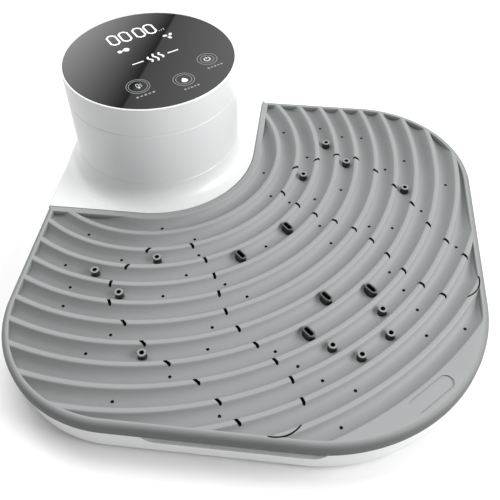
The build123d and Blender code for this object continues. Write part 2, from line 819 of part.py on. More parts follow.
def heater_element():
    """Warm ceramic bars with banks of thin fins between them."""
    inner = heater_size - 2 * heater_wall - 2 * fit_gap
    depth = heater_depth - 4
    bottom = heater_bottom + 2
    bar_width = 4.0
    bars = []
    for number in range(heater_bar_count + 1):
        y = -inner / 2 + bar_width / 2 + number * (inner - bar_width) / heater_bar_count
        bars.append(Pos(0, y, bottom) * Box(inner, bar_width, depth, align=low))
    element = bars[0]
    for bar in bars[1:]:
        element += bar
    fin_count = 16
    for number in range(fin_count):
        x = (number - (fin_count - 1) / 2) * (inner - 4) / (fin_count - 1)
        element += Pos(x, 0, bottom + 1) * Box(0.6, inner - 1, depth - 2, align=low)
    return element


def heater_terminals():
    """Two flat tabs that bring the current in."""
    tabs = []
    half = heater_size / 2
    for x in (-9, 9):
        tabs.append(Pos(x, half + 3, heater_bottom + heater_depth / 2) * Box(6.3, 6, 0.8))
    return Compound(tabs)


def thermal_cutoff():
    """Small thermal switch clipped to the side of the heater."""
    half = heater_size / 2
    can = Rot(0, 90, 0) * Cylinder(5.0, 4.0, align=low)
    return Pos(half, 0, heater_bottom + heater_depth / 2) * can


# ---------------------------------------------------------------- power
terminal_middle = -2.0
terminal_depth = 8.0
lead_level = power_board_bottom + board_thickness + 4.5


def power_board():
    """Half-round board over the front of the fan."""
    board = tube(power_board_radius, power_board_bottom, power_board_bottom + board_thickness)
    cut = Pos(0, post_radius + 2, power_board_bottom - 1) * Box(
        4 * power_board_radius, 2 * power_board_radius, 10, align=(Align.CENTER, Align.MIN, Align.MIN)
    )
    board -= cut
    for angle in post_angles:
        x, y = polar(post_circle, angle)
        board -= Pos(x, y, power_board_bottom) * Cylinder(1.2, 10)
    return board


def power_parts():
    """Transformer, capacitor, relay and terminal block on the power board."""
    top = power_board_bottom + board_thickness
    parts = [
        Pos(-18, -18, top) * Box(22, 18, 13, align=low),
        Pos(18, -34, top) * Box(16, 12, 9, align=low),
        Pos(26, -14, top) * Cylinder(5, 12, align=low),
        Pos(8, -12, top) * Cylinder(3, 9, align=low),
        Pos(-24, -38, top) * Box(14, 8, 8, align=low),
        Pos(0, terminal_middle, top) * Box(14, terminal_depth, 8, align=low),
    ]
    return Compound(parts)


def power_board_screws():
    """Screws that hold the power board to the bracket's posts."""
    top = power_board_bottom + board_thickness
    screws = []
    for angle in post_angles:
        x, y = polar(post_circle, angle)
        head = Pos(x, y, top) * Cylinder(2.2, 1.5, align=low)
        shank = Pos(x, y, top - board_thickness - 6) * Cylinder(0.95, board_thickness + 6, align=low)
        screws.append(head + shank)
    return Compound(screws)


pin_radius = 1.2
pin_spacing = 8.6
pin_recess = 3.0
pin_tail = 1.6
pin_gap = 0.05
lead_radius = 1.2
lead_circle = fan_size / 2 + 8.0


def figure_eight(margin):
    """Two round lobes side by side, grown by the margin."""
    lobe = Circle(3.9 + margin)
    half = pin_spacing / 2
    return Pos(half, 0) * lobe + Pos(-half, 0) * lobe + Rectangle(pin_spacing, 2 * (3.0 + margin))


def inlet_socket():
    """Two-pin mains inlet in the back of the base."""
    face = tower_setback - base_inset
    front = face - 0.8
    body = Pos(0, front - inlet_depth / 2, inlet_middle) * Box(
        inlet_width - 2 * fit_gap, inlet_depth, inlet_height - 2 * fit_gap
    )
    mouth = extrude(Plane.XZ * figure_eight(0), inlet_depth - 4, dir=(0, -1, 0))
    body -= Pos(0, front, inlet_middle) * mouth
    for x in (-pin_spacing / 2, pin_spacing / 2):
        hole = Rot(90, 0, 0) * Cylinder(pin_radius + pin_gap, 2 * inlet_depth)
        body -= Pos(x, front - pin_recess, inlet_middle) * hole
    return body


def inlet_pins():
    """The inlet's two pins, out through its back as solder tails."""
    front = tower_setback - base_inset - 0.8
    pins = []
    for x in (-pin_spacing / 2, pin_spacing / 2):
        bar = Rot(90, 0, 0) * Cylinder(pin_radius, inlet_depth - pin_recess + pin_tail, align=low)
        pins.append(Pos(x, front - pin_recess, inlet_middle) * bar)
    return Compound(pins)


def mains_leads():
    """Two leads from the inlet's pins up past the heater and fan to the power board."""
    start = tower_setback - base_inset - 0.8 - inlet_depth - pin_tail
    end = terminal_middle + terminal_depth / 2
    leads = []
    for x in (-pin_spacing / 2, pin_spacing / 2):
        route = FilletPolyline(
            (x, start, inlet_middle),
            (x, lead_circle, inlet_middle),
            (x, lead_circle, lead_level),
            (x, end, lead_level),
            radius=2.6,
        )
        section = Plane(route @ 0, z_dir=route % 0) * Circle(lead_radius)
        leads.append(sweep(section, path=route))
    return Compound(leads)


def air_guide():
    """Curved wall under the tower that turns the air forwards, clear of the inlet."""
    radius = lead_circle - 4.0
    guide = tube(radius, floor_top, plate_bottom, radius - 2)
    return guide - Pos(0, -radius - 20, 0) * Box(4 * radius, 2 * radius + 40, 100)


# ---------------------------------------------------------------- write every piece
write(base_shell(), "base_shell")
write(rubber_feet(), "rubber_feet")
write(base_screws(), "base_screws")
write(plenum_gasket(), "plenum_gasket")
write(deck_shell(), "deck_shell")
write(ribbed_mat(), "ribbed_mat")
for number, (x, y) in enumerate(in_valleys(round_nozzles), 1):
    write(round_nozzle(x, y), f"nozzle_round_{number:02d}")
for number, (x, y) in enumerate(in_valleys(oval_nozzles), 1):
    write(oval_nozzle(x, y), f"nozzle_oval_{number:02d}")
write(tower_body(), "tower_body")
write(intake_filter(), "intake_filter")
write(tower_collar(), "tower_collar")
write(panel_glass(), "panel_glass")
write(icon_film(), "icon_film")
write(control_board(), "control_board")
write(control_chips(), "control_chips")
write(digit_display(), "digit_display")
write(touch_pads(), "touch_pads")
write(board_screws(), "control_board_screws")
write(fan_bracket(), "fan_bracket")
write(tower_screws(), "tower_screws")
write(fan_frame(), "fan_frame")
write(fan_bearings(), "fan_bearings")
write(fan_stator(), "fan_stator")
write(fan_shaft(), "fan_shaft")
write(fan_rotor(), "fan_rotor")
write(fan_magnet(), "fan_magnet")
write(fan_screws(), "fan_screws")
write(heater_frame(), "heater_frame")
write(heater_element(), "heater_element")
write(heater_terminals(), "heater_terminals")
write(thermal_cutoff(), "thermal_cutoff")
write(power_board(), "power_board")
write(power_parts(), "power_parts")
write(power_board_screws(), "power_board_screws")
write(inlet_socket(), "inlet_socket")
write(inlet_pins(), "inlet_pins")
write(mains_leads(), "mains_leads")
write(air_guide(), "air_guide")
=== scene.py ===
"""Hot-air drying tray: the finished looks round the packed frame, and the stage it is shown on."""

import json
import math

import bmesh
import bpy
import numpy as np
from bpy.props import FloatProperty, FloatVectorProperty, IntProperty, PointerProperty
from bpy.types import Operator, Panel, PropertyGroup
from mathutils import Matrix, Vector


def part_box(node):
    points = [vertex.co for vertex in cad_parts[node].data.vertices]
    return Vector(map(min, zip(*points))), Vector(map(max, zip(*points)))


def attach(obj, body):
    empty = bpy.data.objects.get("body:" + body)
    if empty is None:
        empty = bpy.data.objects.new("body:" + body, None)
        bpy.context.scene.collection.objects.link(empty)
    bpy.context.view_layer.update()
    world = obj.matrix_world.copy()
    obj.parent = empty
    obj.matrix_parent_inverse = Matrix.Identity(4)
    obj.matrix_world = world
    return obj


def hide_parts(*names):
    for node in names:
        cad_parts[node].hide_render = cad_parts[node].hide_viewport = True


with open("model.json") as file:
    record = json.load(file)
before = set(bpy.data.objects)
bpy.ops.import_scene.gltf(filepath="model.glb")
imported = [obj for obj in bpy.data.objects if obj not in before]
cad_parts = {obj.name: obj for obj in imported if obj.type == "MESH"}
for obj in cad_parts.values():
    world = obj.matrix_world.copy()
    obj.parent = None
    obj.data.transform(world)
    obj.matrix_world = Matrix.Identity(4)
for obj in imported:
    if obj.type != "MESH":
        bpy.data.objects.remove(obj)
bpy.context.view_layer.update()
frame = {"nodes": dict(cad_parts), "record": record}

bl_info = {
    "name": "Hot-air drying tray",
    "version": (1, 0, 0),
    "blender": (4, 5, 0),
    "location": "3D View > Sidebar > Drying tray",
    "description": "Mat, nozzles, printed marks, finishes and stage round the packed frame",
    "category": "Object",
}

MM = 0.001
PAST = 10 * MM  # how far a cutter reaches past what it cuts
SLIVER = 0.001 * MM  # keeps a round nozzle's slot outline at least as long as wide
ARC_STEP = 2.0  # degrees between points of the mat's outline
# Painted shade: the valleys' colour darkens towards their ends between these bearings.
SHADE_FROM, SHADE_FULL = math.radians(22), math.radians(62)  # valleys darken between these bearings
FLOOR_RADIUS = 5.0
CARD_RISE = 0.9  # light cards over the glass


def node_box(name):
    """Lowest and highest corner of a CAD node, as two arrays."""
    low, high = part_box(name)
    return np.array(low), np.array(high)


TOWER_LOW, TOWER_HIGH = node_box("tower_body")
TOWER_AXIS = (TOWER_LOW + TOWER_HIGH)[:2] / 2
TOWER_RADIUS = (TOWER_HIGH - TOWER_LOW)[0] / 2
MAT_LOW, MAT_HIGH = node_box("ribbed_mat")
GLASS_LOW, GLASS_HIGH = node_box("panel_glass")
GLASS_RADIUS = (GLASS_HIGH - GLASS_LOW)[0] / 2
ROUND_NOZZLES = sorted(name for name in frame["nodes"] if name.startswith("nozzle_round"))
OVAL_NOZZLES = sorted(name for name in frame["nodes"] if name.startswith("nozzle_oval"))
MARK_UNIT = GLASS_RADIUS / 0.7315  # the marks' places on the glass are shares of this length

# Air holes as (valley number, degrees from straight ahead), on both sides, and the angles of
# the slits in each crest from the second one outwards.
AIR_HOLES = [
    (0, 33.3), (1, 20.2), (1, 64.2), (2, 20.8), (2, 47.2), (3, 0.0), (3, 26.3), (3, 63.4),
    (4, 16.9), (4, 33.2), (4, 57.9), (5, 13.4), (5, 56.7), (6, 23.2), (6, 43.9), (7, 25.1),
    (7, 47.5), (8, 14.0), (8, 32.2), (9, 12.0), (9, 40.9), (10, 10.0), (10, 25.6), (11, 7.0),
    (12, 11.5),
]
OUTER_SLITS = [38.0, 44.0, 47.2, 46.0, 41.5, 37.0, 32.5, 28.0, 25.4, 23.5]
INNER_SLITS = [22.4, 19.7, 18.9, 19.5, 19.6, 18.6, 16.8, 15.1, 14.2, 14.3]


# ---- settings


def length(name, description, millimetres, **limits):
    """A length setting, given in millimetres and kept in metres."""
    return FloatProperty(
        name=name,
        description=description,
        default=millimetres * MM,
        min=0.0,
        unit="LENGTH",
        precision=5,
        **limits,
    )


def amount(name, description, default, **limits):
    """A plain setting that isn't negative: a tone, a power, a focal length."""
    return FloatProperty(name=name, description=description, default=default, min=0.0, **limits)


def turn_by(name, description, degrees):
    """An angle setting, given in degrees and kept in radians."""
    return FloatProperty(
        name=name, description=description, default=math.radians(degrees), subtype="ANGLE"
    )


def colour(name, description, red, green, blue):
    """A colour setting."""
    return FloatVectorProperty(
        name=name,
        description=description,
        default=(red, green, blue),
        size=3,
        min=0.0,
        max=1.0,
        subtype="COLOR",
    )


class MatSettings(PropertyGroup):
    """Sizes and colours of the silicone mat."""

    side: length("Tray side", "Length of the tray's straight sides, corner to corner", 324.0)
    front_corner: length("Front corner", "Radius of the front corner", 117.0)
    side_corner: length("Side corners", "Radius of the two side corners", 86.0)
    back_margin: length("Back margin", "Tower to the tray's back sides", 7.4)
    deck_margin: length("Deck margin", "Tower to the mat's inner edge", 13.4)
    rim: length("Rim", "Width of the rim round the ribs", 5.0)
    edge_radius: length("Edge radius", "Round on the rim's outer edge", 4.0)
    lip_radius: length("Lip radius", "Round on the rim's inner edge", 0.6)
    skirt: length("Skirt", "Thickness of the skirt over the tray's edge", 2.4)
    sheet_rise: length("Underside", "Skirt's lower edge to the mat's underside", 3.3)
    pitch: length("Rib pitch", "Crest to crest", 16.0)
    valley_width: length("Valley width", "Width of a valley across the crests", 12.5)
    valley_depth: length("Valley depth", "Crest to the bottom of a valley", 4.8)
    crest_radius: length("Crest radius", "Round where a crest meets a valley", 1.3)
    land: length("Land", "Flat beside the rim before the first valley", 0.75)
    valleys: IntProperty(name="Valleys", description="Number of valleys", default=13, min=1)
    hole_radius: length("Air hole", "Radius of an air hole", 1.15)
    slit_length: length("Slit length", "Length of a slit across a crest", 6.0)
    slit_width: length("Slit width", "Width of a slit", 2.1)
    tab_margin: length("Tab margin", "Tray's front sides to the finger tabs", 22.3)
    tab_along: length("Tab along", "Tower axis to a finger tab, along the side", 116.0)
    tab_radius: length("Tab radius", "Radius of a finger tab's slit", 18.0)
    tab_slit: length("Tab slit", "Width of a finger tab's slit", 1.0)
    pill_length: length("Pill length", "Length of the recess at the front", 36.0)
    pill_width: length("Pill width", "Width of the recess at the front", 10.0)
    pill_depth: length("Pill depth", "Depth of the recess at the front", 0.8)
    pill_margin: length("Pill margin", "Tray's front to the recess's middle", 11.9)
    # Painted shade: the valleys darken to this share of their colour at their ends.
    end_tone: amount("End tone", "Valleys' tone at their ends", 0.56)
    # Painted shade: the skirt darkens to this share of the crests' colour.
    skirt_tone: amount("Skirt tone", "Skirt's tone against the crests'", 0.30)
    # Painted shade: the insides of the holes and slits darken to this share of the crests' colour.
    cut_tone: amount("Cut tone", "Tone inside the holes and slits", 0.08)
    # Painted shade: the valley colour is a darker, shaded copy of the crest colour.
    crest_colour: colour("Crest colour", "Silicone on the crests", 0.270, 0.279, 0.279)
    valley_colour: colour("Valley colour", "Silicone in the valleys", 0.226, 0.234, 0.236)


class NozzleSettings(PropertyGroup):
    """Sizes and colours of the air nozzles."""

    overhang: length("Flange overhang", "Flange past the nozzle's wall", 1.6)
    flange: length("Flange thickness", "Thickness of the flange under the mat", 0.8)
    wall: length("Lip width", "Width of a round nozzle's top ring", 1.55)
    oval_wall: length("Oval lip width", "Width of an oval nozzle's top ring", 1.25)
    lip: length("Lip round", "Round on the top ring's edges", 0.5)
    waist: length("Waist", "How far the wall draws in half way up", 0.25)
    clearance: length("Clearance", "Room for a nozzle in the mat", 0.05)
    colour: colour("Wall colour", "Nozzle walls", 0.011, 0.012, 0.013)
    # Painted highlight on the nozzles' top ring.
    ring_colour: colour("Ring colour", "Top ring of a round nozzle", 0.24, 0.25, 0.25)


class MarkSettings(PropertyGroup):
    """Printed marks on the glass."""

    tilt: turn_by("Tilt", "Turn of all the marks on the glass", -6.6)
    stroke: length("Stroke", "Width of the digits' lines", 1.4)
    fine: length("Fine stroke", "Width of the rings' lines", 0.38)
    rise: length("Rise", "Thickness of the print", 0.06)
    colour: colour("Print colour", "Printed marks", 0.80, 0.82, 0.83)
    faint_tone: amount("Faint tone", "Tone of the rings and captions", 0.30)
    glow: amount("Glow", "Light given off by the digits", 0.25)


class ShellSettings(PropertyGroup):
    """Colours of the shells and the glass."""

    white: colour("Shell colour", "White mouldings", 0.715, 0.72, 0.724)
    glass: colour("Glass colour", "Dark glass of the panel", 0.010, 0.010, 0.0105)


class StageSettings(PropertyGroup):
    """Camera, floor and light."""

    lens: amount("Lens", "Focal length", 47.97, unit="CAMERA")
    azimuth: turn_by("Azimuth", "Turn of the camera from straight ahead", -38.24)
    elevation: turn_by("Elevation", "Height of the camera over the floor, as an angle", 48.74)
    roll: turn_by("Roll", "Roll of the camera", -0.39)
    place: FloatVectorProperty(
        name="Place",
        description="Camera from the tower's axis, at the level of the crests",
        default=(-0.2097, -0.3851, 0.3608),
        subtype="TRANSLATION",
        unit="LENGTH",
        precision=5,
    )
    fill: amount("Fill", "Light from all round", 0.40)
    key: amount("Key", "Power of the right softbox", 19.0)
    side: amount("Side", "Power of the left softbox", 5.0)
    top: amount("Top", "Power of the overhead softbox", 15.0)
    card: amount("Card", "Glow of the light cards in the glass", 3.0)


# ---- mesh tools


def turned(degrees):
    """Unit vectors on the floor at these angles from straight ahead (-Y): (sin t, -cos t)."""
    angle = np.radians(degrees)
    return np.stack([np.sin(angle), -np.cos(angle)], -1)


def rays(angle):
    """Unit vectors at angles in radians: (cos t, sin t)."""
    return np.stack([np.cos(angle), np.sin(angle)], -1)


def swung(points, angle):
    """Floor points turned about the origin by an angle in radians."""
    c, s = math.cos(angle), math.sin(angle)
    return points @ np.array([[c, s], [-s, c]])


def diagonal(along, across):
    """Floor places from distances along the tray's two diagonal axes out of the tower's axis:
    x = (along - across) / root 2, y = -(along + across) / root 2."""
    along, across = np.broadcast_arrays(along, across)
    flat = np.stack([along - across, -(along + across)], -1) / math.sqrt(2)
    return flat + TOWER_AXIS


def quads(rows, columns, close_rows=False, close_columns=False):
    """Faces of a grid of rows by columns of vertices, closed round on itself where asked."""
    row = np.arange(rows if close_rows else rows - 1)[:, None]
    column = np.arange(columns if close_columns else columns - 1)[None, :]
    next_row, next_column = (row + 1) % rows, (column + 1) % columns
    corners = [
        row * columns + column,
        next_row * columns + column,
        next_row * columns + next_column,
        row * columns + next_column,
    ]
    return np.stack(corners, -1).reshape(-1, 4)


def new_piece(name, points, faces):
    """A mesh object at the origin, from an array of points and lists of faces."""
    mesh = bpy.data.meshes.new(name)
    listed = [face for part in faces for face in np.asarray(part).tolist()]
    mesh.from_pydata(np.asarray(points).reshape(-1, 3).tolist(), [], listed)
    piece = bpy.data.objects.new(name, mesh)
    bpy.context.scene.collection.objects.link(piece)
    return piece


def tag(piece, name, domain, values):
    """A number kept at each point or face, which a finish can read."""
    layer = piece.data.attributes.new(name, "FLOAT", domain)
    layer.data.foreach_set("value", np.asarray(values, np.float32).ravel())


def shade(mesh, degrees):
    """Smooth shading, with an edge kept sharp where its faces meet at more than the angle."""
    mesh.shade_smooth()
    mesh.set_sharp_from_angle(angle=math.radians(degrees))


def mend(mesh, distance=1e-6):
    """Merge points that coincide and turn every face outwards."""
    shape = bmesh.new()
    shape.from_mesh(mesh)
    bmesh.ops.remove_doubles(shape, verts=shape.verts, dist=distance)
    bmesh.ops.dissolve_degenerate(shape, edges=shape.edges, dist=distance)
    bmesh.ops.recalc_face_normals(shape, faces=shape.faces)
    shape.to_mesh(mesh)
    shape.free()


def prisms(outlines, low, high):
    """Upright solids on closed outlines: points (outline, corner) at the low and high level,
    joined by side faces, and closed by one face at each end."""
    outlines = np.asarray(outlines)
    count, corners = outlines.shape[:2]
    points = np.empty((count, 2, corners, 3))
    points[..., :2] = outlines[:, None]
    points[:, 0, :, 2], points[:, 1, :, 2] = low, high
    first = (np.arange(count) * 2 * corners)[:, None]
    corner = np.arange(corners)
    sides = first[..., None] + quads(2, corners, close_columns=True)[:, ::-1]
    below = first + corner[::-1]
    above = first + corners + corner
    return points.reshape(-1, 3), [sides.reshape(-1, 4), below, above]


def joined(parts):
    """Several (points, faces) pairs as one."""
    points, faces, start = [], [], 0
    for some_points, some_faces in parts:
        points.append(np.asarray(some_points).reshape(-1, 3))
        faces += [np.asarray(part) + start for part in some_faces]
        start += len(points[-1])
    return np.concatenate(points), faces


def circle(radius, count):
    """Closed circle of points."""
    return radius * rays(np.arange(count) * 2 * math.pi / count)


def stadium(long, wide, count, turn=0.0):
    """Closed outline of a slot with round ends: a circle of the half width, whose two halves
    are moved apart along the slot, turned by an angle in radians."""
    points = wide / 2 * rays((np.arange(count) + 0.5) * 2 * math.pi / count)
    points[:, 0] += np.sign(points[:, 0]) * (long - wide) / 2
    return swung(points, turn)


def boolean(piece, other, operation):
    """Cut or join a piece with another, and remove the other."""
    modifier = piece.modifiers.new(operation.title(), "BOOLEAN")
    modifier.operation, modifier.object, modifier.solver = operation, other, "MANIFOLD"
    bpy.context.view_layer.update()
    evaluated = piece.evaluated_get(bpy.context.evaluated_depsgraph_get())
    mesh = bpy.data.meshes.new_from_object(evaluated)
    piece.modifiers.clear()
    old, piece.data = piece.data, mesh
    spent, name = (old, other.data), old.name
    bpy.data.objects.remove(other)
    for each in spent:
        bpy.data.meshes.remove(each)
    mesh.name = name
    if not mesh.polygons:
        raise RuntimeError(f"{piece.name}: {operation.lower()} left nothing")


# ---- shader tools


class Wire:
    """A shader socket that can be written in sums."""

    def __init__(self, finish, socket):
        self.finish, self.socket = finish, socket

    def math(self, operation, *values):
        """A Math node of the operation on these values, in order."""
        inputs = dict(enumerate(values))
        return self.finish.node("Math", inputs, operation=operation)

    def __add__(self, other):
        return self.math("ADD", self, other)

    __radd__ = __add__

    def __sub__(self, other):
        return self.math("SUBTRACT", self, other)

    def __rsub__(self, other):
        return self.math("SUBTRACT", other, self)

    def __mul__(self, other):
        return self.math("MULTIPLY", self, other)

    __rmul__ = __mul__

    def sine(self):
        """The sine of the wire's value."""
        return self.math("SINE", self)

    def step(self, low, high):
        """0 below low, 1 above high, and smooth between them."""
        inputs = {"Value": self, "From Min": low, "From Max": high}
        return self.finish.node("MapRange", inputs, interpolation_type="SMOOTHSTEP")


class Finish:
    """A procedural material on object coordinates."""

    def __init__(self, name, base, roughness, **fixed):
        self.material = bpy.data.materials.new(name)
        self.material.use_nodes = True
        self.tree = self.material.node_tree
        self.shader = self.tree.nodes["Principled BSDF"]
        self.set("Base Color", base)
        self.set("Roughness", roughness)
        for key, value in fixed.items():
            self.set(key.replace("_", " ").title().replace("Ior", "IOR"), value)
        self.place = self.node("TexCoord", {}, output="Object")

    def set(self, name, value):
        """Set or link one socket of the shader."""
        self.plug(self.shader.inputs[name], value)

    def plug(self, socket, value):
        """Link a wire, or set a number or colour."""
        if isinstance(value, Wire):
            self.tree.links.new(value.socket, socket)
        elif socket.type == "RGBA":
            socket.default_value = (*value[:3], 1.0)
        else:
            socket.default_value = value

    def node(self, kind, inputs, output=0, stops=None, **settings):
        """Any other node: its settings and ramp stops first, then its sockets."""
        made = self.tree.nodes.new("ShaderNode" + kind)
        for key, value in settings.items():
            setattr(made, key, value)
        if stops:
            while len(made.color_ramp.elements) < len(stops):
                made.color_ramp.elements.new(0.5)
            for element, (position, shade_of) in zip(made.color_ramp.elements, stops):
                element.position, element.color = position, (*shade_of, 1.0)
        for key, value in inputs.items():
            self.plug(made.inputs[key], value)
        return Wire(self, made.outputs[output])

    def noise(self, per_metre, detail=2.0, vector=None):
        """Noise from 0 to 1, with so many grains to the metre."""
        inputs = {"Vector": vector or self.place, "Scale": per_metre, "Detail": detail}
        return self.node("TexNoise", inputs)

    def mix(self, factor, one, two):
        """One colour where the factor is 0, the other where it is 1."""
        inputs = {0: factor, 6: one, 7: two}
        return self.node("Mix", inputs, output=2, data_type="RGBA")

    def axis(self, name):
        """The X, Y or Z of the place on the object."""
        return self.node("SeparateXYZ", {0: self.place}, output=name)

    def tagged(self, name):
        """The number kept at each point or face under this name."""
        return self.node("Attribute", {}, output="Fac", attribute_name=name)

    def bearing(self):
        """Angle round the tower's axis from straight ahead, in radians."""
        right = self.axis("X") - float(TOWER_AXIS[0])
        ahead = float(TOWER_AXIS[1]) - self.axis("Y")
        return right.math("ARCTAN2", right, ahead)

    def bump(self, height, distance, strength=1.0):
        """Fine relief, in metres."""
        inputs = {"Height": height, "Distance": distance, "Strength": strength}
        self.set("Normal", self.node("Bump", inputs))
        return self


def tint(base, factor):
    """A colour made lighter or darker."""
    return tuple(min(1.0, part * factor) for part in base)


def moulded(name, base, rough, grain, relief, spread):
    """Moulded stock: slight cloudiness of tone and shine, and a fine grain."""
    finish = Finish(name, base, rough)
    cloud = finish.noise(45.0, 3.0)
    fine = finish.noise(grain, 2.0)
    finish.set("Base Color", finish.mix(cloud, tint(base, 1 - spread), tint(base, 1 + spread)))
    finish.set("Roughness", rough - 0.05 + 0.06 * cloud + 0.05 * fine)
    return finish.bump(fine, relief, 0.5)


def white_shell():
    """Satin white moulding with a very fine spark grain and fainter flow marks."""
    base = tuple(bpy.context.scene.tray_shell.white)
    finish = Finish("white_satin", base, 0.34, ior=1.5)
    cloud = finish.noise(18.0, 3.0)
    grain = finish.noise(2200.0, 1.0)
    finish.set("Base Color", finish.mix(cloud, tint(base, 0.985), tint(base, 1.012)))
    finish.set("Roughness", 0.27 + 0.07 * cloud + 0.05 * grain)
    return finish.bump(grain, 0.00002, 0.35)


def grey_silicone():
    """Matt silicone with painted shade: darker in the valleys than on the crests, darker still
    towards the valleys' ends, and darker on the skirt and inside the holes and slits; with a fine
    powdery grain and faint dust."""
    settings = bpy.context.scene.tray_mat
    crest, valley = tuple(settings.crest_colour), tuple(settings.valley_colour)
    finish = Finish("grey_silicone", crest, 0.6)
    level = finish.axis("Z")
    top = float(MAT_HIGH[2])
    # Painted shade: the colour darkens from the crests down into the valleys.
    height = level.step(top - settings.valley_depth, top - 0.4 * MM)
    cloud = finish.noise(26.0, 4.0)
    powder = finish.noise(900.0, 2.0)
    # Painted shade towards the valleys' ends.
    bearing = finish.bearing()
    ends = bearing.math("ABSOLUTE", bearing).step(SHADE_FROM, SHADE_FULL)
    valley_shade = finish.mix(ends, valley, tint(valley, settings.end_tone))
    toned = finish.mix(height, valley_shade, crest)
    dusty = finish.mix(cloud * 0.22 + powder * 0.10, toned, tint(crest, 1.25))
    # Painted shade on the skirt.
    skirt_shaded = finish.mix(finish.tagged("skirt"), dusty, tint(crest, settings.skirt_tone))
    # Painted shade inside the holes and slits.
    inside = tint(crest, settings.cut_tone)
    finish.set("Base Color", finish.mix(finish.tagged("cut"), skirt_shaded, inside))
    finish.set("Roughness", 0.5 + 0.12 * cloud + 0.08 * powder)
    return finish.bump(finish.noise(1500.0, 2.0), 0.00004, 0.5)


def nozzle_resin():
    """Dark moulded nozzle, with a painted highlight in a lighter grey on its top ring."""
    settings = bpy.context.scene.tray_nozzles
    base = tuple(settings.colour)
    finish = Finish("nozzle_resin", base, 0.42)
    ring = finish.tagged("ring")
    cloud = finish.noise(700.0, 2.0)
    # Painted highlight: the top ring is coloured lighter than the walls.
    finish.set("Base Color", finish.mix(ring, base, tuple(settings.ring_colour)))
    finish.set("Roughness", 0.34 + 0.14 * cloud + 0.12 * ring)
    return finish.bump(cloud, 0.00003, 0.5)


def dark_glass():
    """Polished dark glass with the faintest wipe marks in its shine."""
    base = tuple(bpy.context.scene.tray_shell.glass)
    finish = Finish("dark_glass", base, 0.05, ior=1.52)
    smear = finish.noise(30.0, 4.0)
    finish.set("Roughness", 0.015 + 0.03 * smear)
    finish.set("Base Color", finish.mix(smear, tint(base, 0.9), tint(base, 1.15)))
    return finish


def panel_print():
    """White print, a little uneven in its cover, and greyer on the rings and captions."""
    settings = bpy.context.scene.tray_marks
    base = tuple(settings.colour)
    finish = Finish("panel_print", base, 0.5, emission_strength=settings.glow)
    patch = finish.noise(600.0, 2.0)
    full = finish.mix(patch, tint(base, 0.88), tint(base, 1.05))
    toned = finish.mix(finish.tagged("faint"), full, tint(base, settings.faint_tone))
    finish.set("Base Color", toned)
    finish.set("Emission Color", toned)
    return finish


def circuit_board():
    """Green mask with copper tracks showing through as a fine grid of paler lines."""
    finish = Finish("circuit_board", (0.02, 0.11, 0.05), 0.35)
    tracks = (finish.axis("X") * 900.0).sine().step(0.75, 0.95)
    lanes = (finish.axis("Y") * 700.0).sine().step(0.80, 0.97)
    gate = finish.noise(120.0, 0.0).step(0.5, 0.55)
    mask = tracks * gate + lanes * (1 - gate)
    finish.set("Base Color", finish.mix(mask, (0.02, 0.11, 0.05), (0.08, 0.26, 0.12)))
    finish.set("Roughness", 0.4 - 0.1 * mask)
    return finish.bump(mask, 0.00004, 0.5)


def filter_mesh():
    """Woven mesh: crossed threads, round and over one another."""
    finish = Finish("filter_mesh", (0.02, 0.02, 0.022), 0.8)
    warp = (finish.bearing() * -320.0).sine()
    weft = (finish.axis("Z") * 5200.0).sine()
    cloth = (warp * weft).step(-0.6, 0.6)
    finish.set("Base Color", finish.mix(cloth, (0.004, 0.004, 0.004), (0.05, 0.05, 0.055)))
    return finish.bump(cloth, 0.0001, 0.8)


def brushed(name, base, rough, along="Z"):
    """Metal with fine straight brush lines along one axis."""
    finish = Finish(name, base, rough, metallic=1.0)
    scale = [2.0 if axis == along else 60.0 for axis in "XYZ"]
    stretched = finish.node("Mapping", {"Vector": finish.place, "Scale": scale})
    lines = finish.noise(40.0, 3.0, stretched)
    finish.set("Base Color", finish.mix(lines, tint(base, 0.82), tint(base, 1.08)))
    finish.set("Roughness", rough - 0.08 + 0.16 * lines)
    return finish.bump(lines, 0.00002, 0.4)


def copper_windings():
    """Enamelled wire laid in rows, painted lighter and darker in turn: painted highlight along
    each wire and painted shade between them.
    """
    finish = Finish("copper_windings", (0.45, 0.16, 0.05), 0.3, metallic=1.0)
    lit = (finish.axis("Z") * 12000.0).sine().step(-1.0, 1.0)
    finish.set("Base Color", finish.mix(lit, (0.10, 0.03, 0.01), (0.62, 0.27, 0.10)))
    return finish.bump(lit, 0.0001, 0.8)


SPECIAL = (
    white_shell, grey_silicone, nozzle_resin, dark_glass,
    panel_print, circuit_board, filter_mesh, copper_windings,
)
FINISHES = {finish.__name__: finish for finish in SPECIAL}
# Machined stock as (colour, roughness, axis of the brush lines).
METALS = {
    "steel": ((0.52, 0.53, 0.55), 0.3, "Z"),
    "bare_aluminium": ((0.70, 0.71, 0.72), 0.38, "X"),
    "plated_brass": ((0.66, 0.52, 0.26), 0.28, "Y"),
}
# Moulded stock as (colour, roughness, grains to the metre, relief in metres, spread of tone).
MOULDED = {
    "black_rubber": ((0.018, 0.018, 0.018), 0.7, 1400.0, 0.00003, 0.06),
    "dark_magnet": ((0.03, 0.03, 0.03), 0.5, 900.0, 0.00003, 0.06),
    "black_plastic": ((0.018, 0.018, 0.02), 0.45, 1400.0, 0.00003, 0.06),
    "heat_resin": ((0.14, 0.07, 0.03), 0.5, 1000.0, 0.00003, 0.06),
    "grey_foam": ((0.06, 0.06, 0.063), 0.85, 900.0, 0.0003, 0.2),
    "lead_sleeve": ((0.02, 0.03, 0.12), 0.5, 1400.0, 0.00003, 0.06),
}


